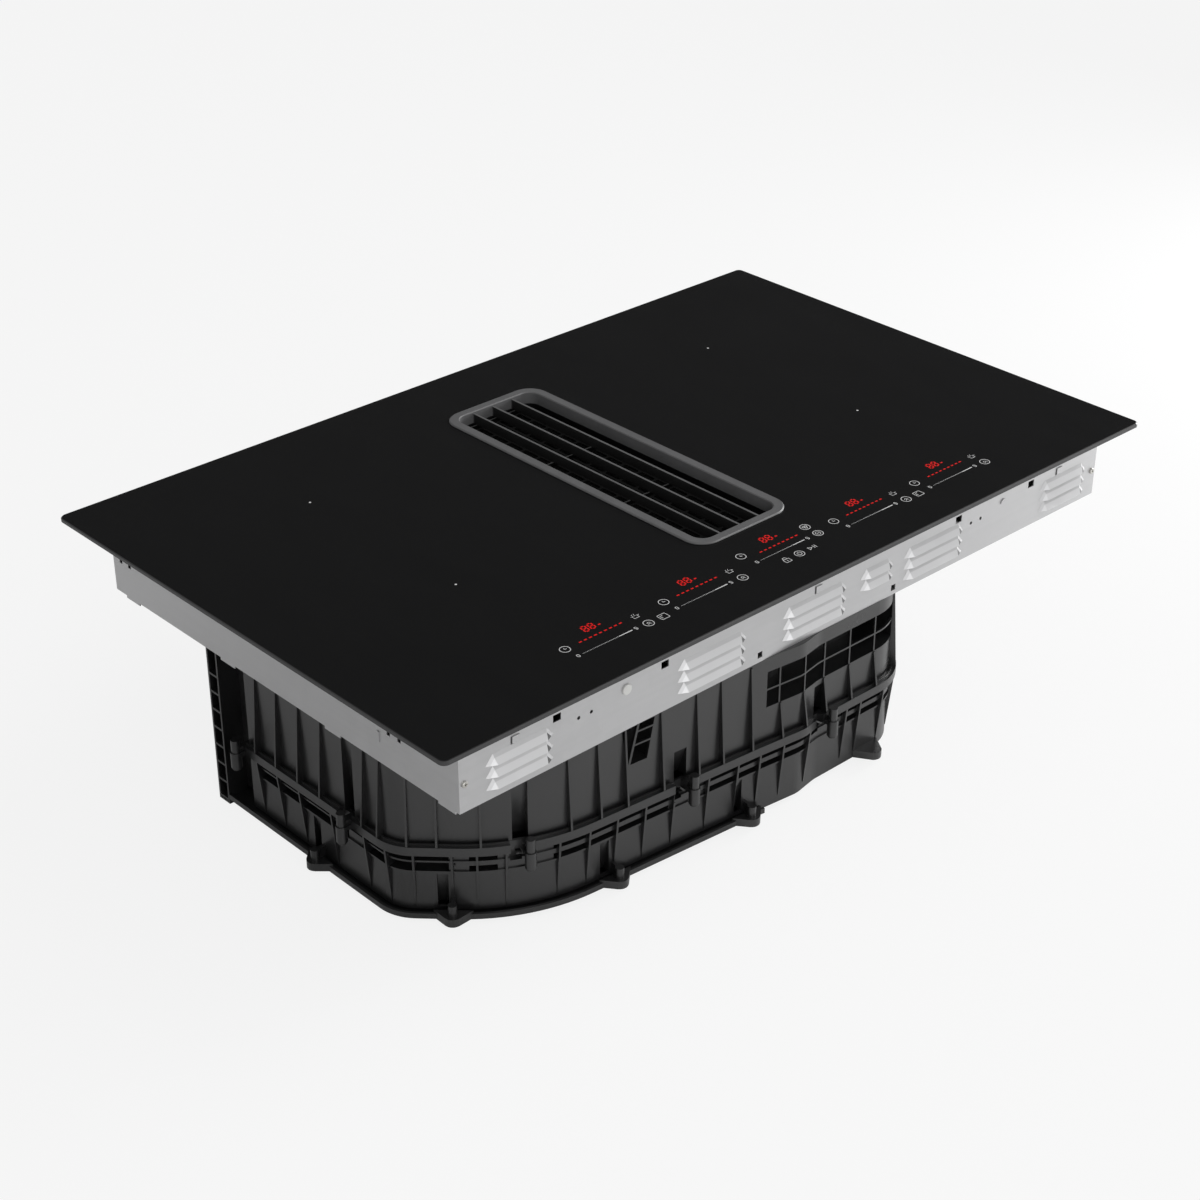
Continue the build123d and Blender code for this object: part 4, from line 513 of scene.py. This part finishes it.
# %% [markdown]
# ## Copper and steel of the fan motor
# The stator is a stack of half-millimetre laminations, blue-black from annealing, with a thin
# varnish. Each tooth carries a coil of enamelled wire, wound in level layers, so its turns are
# ridges one wire thick, stacked along the motor's axis. Both layers lie square to that axis, so
# waves of the height alone draw them.

# %% Motor
motor_copper, finish = finish_named("enamelled wire")
wires = finish.waves(finish.along(2), 0.8 * mm)
lacquer = finish.noise(0.004, 3)
finish.surface(base_color=finish.blend(lacquer, (0.30, 0.09, 0.03), (0.56, 0.22, 0.09)),
               metallic=0.8, roughness=0.3 + lacquer * 0.12,
               normal=finish.bump(wires, 0.0002))

lamination, finish = finish_named("laminated core")
sheets = finish.waves(finish.along(2), 0.5 * mm)
scale = finish.noise(0.006, 4)
finish.surface(base_color=finish.blend(scale, (0.035, 0.038, 0.048), (0.11, 0.10, 0.10)),
               metallic=0.5, roughness=0.5 + scale * 0.12,
               normal=finish.bump(sheets, 0.00008))
print("motor finishes ready")

# %% [markdown]
# ## Ferrite
# Ferrite bars are pressed and sintered like a ceramic: dark grey, dull, with tiny chips and the
# slightly lighter bloom of the grinding wheel. Noise alone would read as rubber, and the chips make
# it brittle, so dust and chips are multiplied.

# %% Ferrite
ferrite, finish = finish_named("sintered ferrite")
dust = finish.noise(0.003, 4)
chips = finish.rise(finish.pits(0.004), 0.05, 0.14)
finish.surface(base_color=finish.blend(dust * chips, (0.018, 0.018, 0.020), (0.055, 0.054, 0.056)),
               specular=0.4, roughness=0.62 + dust * 0.15,
               normal=finish.bump(chips + dust * 0.3, 0.00015))
print("ferrite ready")

# %% [markdown]
# ## Circuit boards
# A board is glass cloth under green lacquer, with copper tracks as slightly raised, lighter lanes
# that run square to the edges. Two patchworks, each stretched along one edge, give such lanes
# without a picture of a board. What stands on the board is black, brown and grey, so above the
# board's own face the finish turns to dark sleeves with a varied tone. The height is taken from
# each board, and one recipe serves them all.


# %% Boards
def circuit_board(name, face):
    """Green lacquer with tracks up to the face's level, dark sleeves above it."""
    material, finish = finish_named(name)
    lanes = finish.cells(0.004, stretch=(1, 0.18, 0.01)) * 0.5 + finish.cells(
        0.004, stretch=(0.18, 1, 0.01)) * 0.5
    track = finish.rise(lanes, 0.52, 0.56)
    weave = finish.noise(0.0008, 2)
    lacquer = finish.blend(track, (0.010, 0.075, 0.030), (0.035, 0.150, 0.060))
    sleeve = finish.blend(finish.cells(0.03, stretch=(1, 1, 0.01)), (0.012, 0.012, 0.013),
                          (0.10, 0.085, 0.07))
    above = finish.rise(finish.along(2), face, face + 0.2 * mm)
    finish.surface(base_color=finish.blend(above, lacquer, sleeve),
                   roughness=0.32 + weave * 0.1 + above * 0.15,
                   normal=finish.bump(track * (1 - above) + weave * 0.2, 0.00005))
    return material


boards = {}
board_thick = 1.6 * mm
for node, standoff in (("control_board", 0), ("power_board_left", 6 * mm),
                       ("power_board_right", 6 * mm), ("filter_board", 6 * mm)):
    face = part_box(node)[0].z + standoff + board_thick
    boards[node] = circuit_board(node + " lacquer", face)
print("boards:", len(boards))

# %% [markdown]
# ## Number displays under the glass
# The display blocks are red acrylic with a lit face. Seen from above, through the glass, only the
# lit segments show, and these are made further on as marks of their own.

# %% Display blocks
display_red, finish = finish_named("display acrylic")
haze = finish.noise(0.004, 2)
finish.surface(base_color=finish.blend(haze, (0.20, 0.008, 0.008), (0.36, 0.015, 0.012)),
               roughness=0.22 + haze * 0.1, coat_weight=0.3,
               normal=finish.bump(finish.noise(0.002, 2), 0.00002))
print("display blocks ready")

# %% [markdown]
# ## Put the finishes on the solids
# The record names a finish slot for every solid. One table leads from slot to material, which is
# shorter than an entry for every solid. Windings, black screws and boards, which differ from others
# of their slot, have their own entries by solid.

# %% Assign
finish_of_slot = {
    "black_glass": black_glass, "seal_foam": seal_foam, "silicone": silicone,
    "zinc_sheet": zinc_sheet, "screw_steel": screw_steel, "white_nylon": white_nylon,
    "grille_coat": grille_coat, "black_plastic": black_plastic, "stainless": stainless,
    "mesh_coat": mesh_coat, "gasket_rubber": gasket_rubber, "impeller_plastic": impeller_plastic,
    "rotor_steel": rotor_steel, "bearing_steel": bearing_steel,
    "plate_aluminium": plate_aluminium, "lamination": lamination, "copper": flat_copper,
    "damper_rubber": damper_rubber, "ferrite": ferrite, "post_steel": post_steel,
    "tray_plastic": tray_plastic, "display_red": display_red,
    "terminal_plastic": terminal_plastic, "carrier_plastic": carrier_plastic,
    "sink_aluminium": sink_aluminium, "blower_plastic": blower_plastic,
}
finish_of_node = {"motor_windings": motor_copper, "flange_screws": screw_black,
                  "cover_screws": screw_black, **boards}
for part in frame["record"]["subparts"]:
    solid = frame["nodes"][part["node"]]
    material = finish_of_node.get(part["node"]) or finish_of_slot[part["material_slot"]]
    for number in range(len(solid.material_slots)):
        solid.material_slots[number].material = material

# %% [markdown]
# ## Printing on the glass
# Symbols are fired onto the glass as a skin of pale ceramic ink. A picture laid on the glass would
# be the quick way, but its pixels would show in a close view. So each mark is built as real
# geometry: a stroke is a thin closed ribbon with mitred corners, and a filled mark is a thin closed
# plate. They stand 0.04 mm above the glass, as ink does, so they keep their sharp edge from any
# side.


# %% Outlines
def circle(x, y, radius, count):
    """Points evenly round a circle."""
    turns = [2 * pi * number / count for number in range(count)]
    return [(x + radius * cos(a), y + radius * sin(a)) for a in turns]


def arc(x, y, radius, start, end, count=12):
    """Points along an arc, with angles in degrees."""
    steps = [radians(start + (end - start) * number / count) for number in range(count + 1)]
    return [(x + radius * cos(a), y + radius * sin(a)) for a in steps]


def offset_lines(points, half, closed):
    """The two edges of a line of that half width."""
    left = []
    right = []
    for number, (x, y) in enumerate(points):
        before = points[number - 1] if number or closed else (x, y)
        after = points[(number + 1) % len(points)] if closed or number < len(points) - 1 else (x, y)
        come = Vector((x - before[0], y - before[1]))
        go = Vector((after[0] - x, after[1] - y))
        come = come.normalized() if come.length else go.normalized()
        go = go.normalized() if go.length else come
        side = Vector((-(come.y + go.y), come.x + go.x)).normalized()
        reach = half / max(side.dot(Vector((-come.y, come.x))), 0.4)
        left.append((x + side.x * reach, y + side.y * reach))
        right.append((x - side.x * reach, y - side.y * reach))
    return left, right


print("outline helpers: circle, arc and the two edges of a line")


# %% A printer for thin marks
class Ink:
    """Collects thin closed marks in millimetres on the glass and makes them one piece."""

    low = glass_face - 0.01 * mm
    high = glass_face + 0.04 * mm

    def __init__(self):
        self.mesh = bmesh.new()

    def row(self, outline, z):
        """The points of an outline at that height."""
        return [self.mesh.verts.new((x * mm, y * mm, z)) for x, y in outline]

    def solid(self, outline):
        """A thin plate over a closed outline given counter-clockwise."""
        bottom = self.row(outline, self.low)
        top = self.row(outline, self.high)
        self.mesh.faces.new(bottom[::-1])
        self.mesh.faces.new(top)
        for here in range(len(outline)):
            there = (here + 1) % len(outline)
            self.mesh.faces.new((bottom[here], bottom[there], top[there], top[here]))

    def band(self, outer, inner):
        """A thin closed ring between two outlines with as many points."""
        rows = [self.row(outer, self.low), self.row(outer, self.high),
                self.row(inner, self.high), self.row(inner, self.low)]
        for row, following in zip(rows, rows[1:] + rows[:1]):
            for here in range(len(outer)):
                there = (here + 1) % len(outer)
                self.mesh.faces.new((row[here], row[there], following[there], following[here]))

    def stroke(self, points, width, closed=False):
        """A line of ink through points, with mitred corners."""
        left, right = offset_lines(points, width / 2, closed)
        if closed:
            self.band(right, left)
        else:
            self.solid(right + left[::-1])

    def ring(self, x, y, diameter, width):
        self.stroke(circle(x, y, diameter / 2, 40), width, True)

    def dot(self, x, y, diameter):
        self.solid(circle(x, y, diameter / 2, 20))

    def piece(self, name, material):
        """The collected marks as one piece that rides on the hob."""
        bmesh.ops.recalc_face_normals(self.mesh, faces=self.mesh.faces)
        data = bpy.data.meshes.new(name)
        self.mesh.to_mesh(data)
        self.mesh.free()
        data.materials.append(material)
        made = bpy.data.objects.new(name, data)
        bpy.context.scene.collection.objects.link(made)
        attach(made, "hob")
        print(name, "has", len(data.polygons), "faces")


print("ink stands", round((Ink.high - glass_face) / mm, 3), "mm above the glass")

# %% [markdown]
# ## Ink and light
# The printed ink is a matt off-white ceramic with tiny pores. The level dashes and digits are light
# that shines up through the dark glass. Real lamps under a see-through glass would be slow and
# grainy, so the marks glow by themselves: a saturated red, a little uneven because the glass
# scatters it.

# %% Ink and lit marks
ceramic_ink, finish = finish_named("ceramic ink")
pores = finish.noise(0.0006, 2)
finish.surface(base_color=finish.blend(pores, (0.64, 0.64, 0.64), (0.78, 0.78, 0.78)),
               specular=0.3, roughness=0.55 + pores * 0.15,
               normal=finish.bump(pores, 0.00001))

lit_red, finish = finish_named("lit red")
glow = finish.noise(0.0015, 2)
finish.surface(base_color=finish.blend(glow, (0.30, 0.004, 0.004), (0.42, 0.007, 0.006)),
               emission_color=finish.blend(glow, (0.75, 0.006, 0.006), (1.0, 0.016, 0.012)),
               emission_strength=0.42, roughness=0.3 + glow * 0.1, specular=0.2,
               normal=finish.bump(glow, 0.00001))
print("ink and light ready")

# %% [markdown]
# ## Symbols
# Every zone has the same group of controls: a clock, a slider from 0 to 9, a pan, a boost symbol in
# a circle and, on two of them, a symbol that joins two zones. A typeface has no such signs, so each
# symbol is a few strokes about its own middle, written once and placed where the group needs it.
# Sizes are in millimetres, and one line width serves them all.

# %% Single symbols
line = 0.5


def ringed(ink, x, y):
    """The circle round a symbol, as tall as the keys beside it."""
    ink.ring(x, y, 9.0, line + 0.05)


def clock(ink, x, y):
    ink.ring(x - 1.2, y, 8.7, line + 0.05)
    ink.stroke([(x - 1.3, y + 1.9), (x - 1.3, y), (x + 0.5, y)], line)


def zero(ink, x, y):
    ring = arc(x, y + 0.75, 1.05, 0, 180) + arc(x, y - 0.75, 1.05, 180, 360)
    ink.stroke(ring, line, True)


def nine(ink, x, y):
    ink.ring(x, y + 0.8, 2.2, line)
    ink.stroke([(x + 1.1, y + 0.8)] + arc(x, y - 0.7, 1.1, 0, -150, 8), line)


def pan(ink, x, y):
    ink.stroke([(x - 3.0, y + 1.2), (x - 3.0, y - 2.4), (x + 2.0, y - 2.4), (x + 2.0, y + 1.2)],
               line * 0.8)
    ink.stroke([(x + 2.0, y + 0.6), (x + 4.0, y + 0.6)], line * 0.8)
    ink.stroke([(x - 4.0, y + 1.2), (x + 1.2, y + 1.2)], line * 0.6)
    for across in (-2.0, 0.2):
        ink.stroke([(x + across, y + 2.4), (x + across + 0.8, y + 3.6)], line * 0.8)


def boost(ink, x, y):
    ringed(ink, x, y)
    for level in (-1.4, 0.5):
        ink.stroke([(x - 1.9, y + level - 0.7), (x, y + level + 1.0), (x + 1.9, y + level - 0.7)],
                   line * 0.8)


def rounded_box(ink, x, y, width, height, corner):
    points = []
    for across, up, start in ((1, 1, 0), (-1, 1, 90), (-1, -1, 180), (1, -1, 270)):
        points += arc(x + across * (width / 2 - corner), y + up * (height / 2 - corner), corner,
                      start, start + 90, 4)
    ink.stroke(points, line, True)


def bridge(ink, x, y):
    rounded_box(ink, x, y, 8.2, 7.2, 0.9)
    ink.stroke([(x - 2.2, y - 2.0), (x - 2.2, y + 2.0)], line)
    ink.stroke([(x - 0.9, y + 2.0), (x + 0.6, y + 2.0)], line)


print("zone symbols: clock, zero, nine, pan, boost, bridge")

# %% [markdown]
# ### Keys for the fan and the whole hob
# The middle group has keys of its own: a lock against wiping hands, the main switch, a key that
# holds all zones for a moment, the fan and the reminder to clean the filter. Each could have a
# method of its own, but the same strokes and the same line width as in the zone symbols make the
# print look like the work of one hand.


# %% Hob keys
def padlock(ink, x, y):
    rounded_box(ink, x, y - 1.2, 6.4, 4.8, 0.6)
    ink.stroke([(x - 1.9, y + 1.2)] + arc(x, y + 2.2, 1.9, 180, 0, 8) + [(x + 1.9, y + 1.2)], line)
    ink.stroke([(x, y - 0.4), (x, y - 2.2)], line)


def on_off(ink, x, y):
    ink.ring(x, y, 8.8, line + 0.05)
    ink.stroke(arc(x, y, 2.1, 125, 415, 16), line)
    ink.stroke([(x, y + 0.4), (x, y + 2.9)], line)


def play_pause(ink, x, y):
    ink.stroke([(x - 4.2, y - 2.0), (x - 4.2, y + 2.0), (x - 0.7, y)], line, True)
    for step in (1.4, 3.6):
        ink.stroke([(x + step, y - 2.1), (x + step, y + 2.1)], line * 1.3)


def fan(ink, x, y):
    ringed(ink, x, y)
    for turn in (30, 150, 270):
        blade = arc(x + 1.45 * cos(radians(turn)), y + 1.45 * sin(radians(turn)), 1.15,
                    turn, turn + 330)
        ink.stroke(blade, line, True)


def filter_sign(ink, x, y):
    ringed(ink, x, y)
    ink.ring(x, y, 4.8, line * 0.8)
    ink.stroke([(x - 1.5, y), (x + 1.5, y)], line)


print("hob keys: padlock, on/off, play and pause, fan, filter")

# %% [markdown]
# ## The five sliders
# A slider is a row of dots that swells into a line, from the 0 to the 9. Above it stand nine red
# dashes that show the level, and two seven-segment digits with a decimal mark. Positions are
# measured on the glass in millimetres, those of the marks from each slider's 0. An even step would
# be shorter to write, but the groups differ a little in height, so each has a place of its own. The
# slider in the middle works the fan, and its display sits closer.

# %% Sliders and digits
slider_places = [(-244.9, -213.5), (-138.2, -212.6), (-37.1, -203.3), (64.8, -211.8),
                 (171.4, -211.7)]
fan_slider = 2
dots, dot_pitch, dot_length = 26, 1.46, 0.7
wedge_start, wedge_end = 42.6, 57.0
dash_pitch, dash_half = 5.3, 1.4


def slider(ink, x, y):
    """The 0, a row of dots that grow into a wedge, and the 9."""
    zero(ink, x, y)
    nine(ink, x + 61.0, y)
    for number in range(dots):
        start = x + 4.6 + number * dot_pitch
        ink.stroke([(start, y), (start + dot_length, y)], 0.36 + 0.015 * number)
    ink.solid([(x + wedge_start, y - 0.36), (x + wedge_end, y - 0.52),
               (x + wedge_end, y + 0.52), (x + wedge_start, y + 0.36)])


def level_dashes(light, x, y):
    """Nine short dashes, one for each level."""
    for number in range(9):
        middle = x + 15.0 + number * dash_pitch
        light.stroke([(middle - dash_half, y), (middle + dash_half, y)], 1.35)


def digit(light, x, y):
    """A seven-segment 8 that leans a little, 5 mm wide and 9 mm high."""
    wide, high = 2.1, 4.0
    ends = [((0.9 - wide, level), (wide - 0.9, level)) for level in (-high, 0, high)]
    for across in (-wide, wide):
        ends += [((across, 0.5 - high), (across, -0.5)), ((across, 0.5), (across, high - 0.5))]
    for bar in ends:
        light.stroke([(x + along + 0.09 * level, y + level) for along, level in bar], 1.25)


def display(light, x, y):
    """Two digits and a decimal mark."""
    digit(light, x - 3.4, y)
    digit(light, x + 3.4, y)
    light.stroke([(x + 8.6, y - 2.3), (x + 11.0, y - 2.3)], 1.5)


slider_ink = Ink()
for x, y in slider_places:
    slider(slider_ink, x, y)
slider_ink.piece("slider_scales", ceramic_ink)

dash_light = Ink()
digit_light = Ink()
for number, (x, y) in enumerate(slider_places):
    dash_rise, digit_rise = (9.8, 23.0) if number == fan_slider else (14.1, 26.5)
    level_dashes(dash_light, x, y + dash_rise)
    display(digit_light, x + 34.4, y + digit_rise)
dash_light.piece("level_dashes", lit_red)
digit_light.piece("lit_digits", lit_red)

# %% [markdown]
# ## Symbols beside the sliders
# The middle slider works the fan, so it has the fan and filter signs instead of pan and boost, and
# under it sit the keys for the whole hob. A tiny dot marks the middle of each cooking zone.

# %% Touch symbols and zone dots
clock_shifts = {0: 0.0, 1: 0.0, 3: -1.3, 4: -3.1}
bridged_sliders = (0, 3)
symbol_ink = Ink()
for number, clock_shift in clock_shifts.items():
    x, y = slider_places[number]
    clock(symbol_ink, x + clock_shift, y + 14.0)
    pan(symbol_ink, x + 73.6, y + 13.8)
    boost(symbol_ink, x + 73.9, y - 0.8)
    if number in bridged_sliders:
        bridge(symbol_ink, x + 89.7, y - 1.1)
clock(symbol_ink, -38.8, -187.7)
fan(symbol_ink, 36.8, -188.3)
filter_sign(symbol_ink, 37.0, -203.1)
padlock(symbol_ink, -16.6, -217.3)
on_off(symbol_ink, -0.7, -217.0)
play_pause(symbol_ink, 15.2, -216.8)
symbol_ink.piece("touch_symbols", ceramic_ink)

zone_dot = 2.0
dot_ink = Ink()
for side in (-1, 1):
    for y in coil_y:
        dot_ink.dot(side * coil_x / mm, y / mm, zone_dot)
dot_ink.piece("zone_dots", ceramic_ink)

# %% [markdown]
# ## Studio
# The hob stands on a pale paper floor under plain soft light. One even dome of light would do for
# the black parts, but it would leave the sheet panels in one flat tone. So a wide lamp at the front
# left lights the two sides that the camera sees. A small, low one at the right brightens the floor
# there, and the front panel mirrors that floor more and more towards its right end. A broad
# sun-like lamp from the right and above lights the floor evenly and gives the hob its soft shadow.


# %% Lamps
def aimed(lamp, place, aim):
    """Puts a lamp at a place in metres and turns it towards its aim."""
    body = bpy.data.objects.new(lamp.name, lamp)
    body.location = place
    body.rotation_euler = (Vector(aim) - Vector(place)).to_track_quat("-Z", "Y").to_euler()
    bpy.context.scene.collection.objects.link(body)


def panel_lamp(name, place, aim, width, power):
    """A square soft box, with its power in watts."""
    lamp = bpy.data.lights.new(name, "AREA")
    lamp.shape = "SQUARE"
    lamp.size = width
    lamp.energy = power
    aimed(lamp, place, aim)


def even_lamp(name, place, strength, softness):
    """Light that comes from one side at the same strength everywhere."""
    lamp = bpy.data.lights.new(name, "SUN")
    lamp.energy = strength
    lamp.angle = radians(softness)
    aimed(lamp, place, (0, 0, 0))


panel_lamp("front left lamp", (-0.9, -2.9, 1.4), (0.0, -0.1, -0.08), 1.6, 31)
panel_lamp("right lamp", (1.75, -0.35, 0.40), (0.7, -0.5, -0.23), 0.6, 25)
even_lamp("top lamp", (2.0, -0.6, 1.6), 0.95, 40)

# %% [markdown]
# ### Room
# The room is as pale as the paper, except above the horizon at the back right. That is what the
# polished glass mirrors towards the camera, so it stays black, while upright walls mirror the pale
# floor. A black card held there would do the same, but it would stand in the picture. The dimming
# goes by direction, so it is the same for every surface. Light that a matt surface gathers from the
# room is weaker than what a gloss shows of it, which keeps the lamps' modelling, and the camera
# sees the room at a strength below white.

# %% Room
paper_level = 0.93
gathered_level = 0.42
dark_low, dark_high = 0.04, 0.11


def grey(level):
    return (level,) * 3


def ray(finish, kind):
    """1 for a ray of that kind."""
    return finish.node("ShaderNodeLightPath", output=kind)


room = bpy.data.worlds.new("studio room")
bpy.context.scene.world = room
room.use_nodes = True
finish = Finish(room)
camera_looks = ray(finish, "Is Camera Ray")
gloss_looks = ray(finish, "Is Glossy Ray") + ray(finish, "Is Transmission Ray")
upward = finish.along(2)
above = finish.rise(upward, 0.10, 0.24)
back_right = finish.rise(finish.along(0) + finish.along(1), -0.1, 0.4)
dark = finish.blend(finish.rise(upward, 0.26, 0.5), grey(dark_low), grey(dark_high))
wall = finish.blend(above * back_right, grey(paper_level), dark)
mirrored = finish.blend(camera_looks + gloss_looks, grey(gathered_level), wall)
background = finish.node("ShaderNodeBackground", {},
                         {0: finish.blend(camera_looks, mirrored, grey(paper_level)), 1: 1.0})
finish.output(background, "ShaderNodeOutputWorld")
print("room", paper_level)

# %% [markdown]
# ### Paper floor
# The floor is one large sheet under the hob's lowest point. A backdrop that curves up behind the
# hob is the usual way, but its bend would show in the glass. To the camera most of the sheet's tone
# comes from an even glow, so it runs into the background without an edge, and the rest is lit
# paper, which carries the hob's shadow. For every other ray it is plain matt paper.

# %% Floor
glow_share = 0.9
paper, finish = finish_named("paper")
camera_looks = ray(finish, "Is Camera Ray")
fibre = finish.noise(0.002, 3)
matt = finish.node("ShaderNodeBsdfPrincipled", {},
                   {"Base Color": grey(paper_level), "Roughness": 0.9,
                    "Specular IOR Level": 0.1, "Normal": finish.bump(fibre, 0.00003)})
glow = finish.node("ShaderNodeEmission", {}, {0: grey(1.0), 1: 0.94})
finish.output(finish.node("ShaderNodeMixShader", {},
                          {0: camera_looks * glow_share, 1: matt, 2: glow}))
paper.cycles.emission_sampling = "NONE"

reach = 9.0
floor_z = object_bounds()[0].z
floor_mesh = bpy.data.meshes.new("floor")
floor_mesh.from_pydata([(-reach, -reach, floor_z), (reach, -reach, floor_z),
                        (reach, reach, floor_z), (-reach, reach, floor_z)], [], [(0, 1, 2, 3)])
floor_mesh.materials.append(paper)
floor = bpy.data.objects.new("floor", floor_mesh)
bpy.context.scene.collection.objects.link(floor)
print("floor at", round(floor_z / mm, 1), "mm")
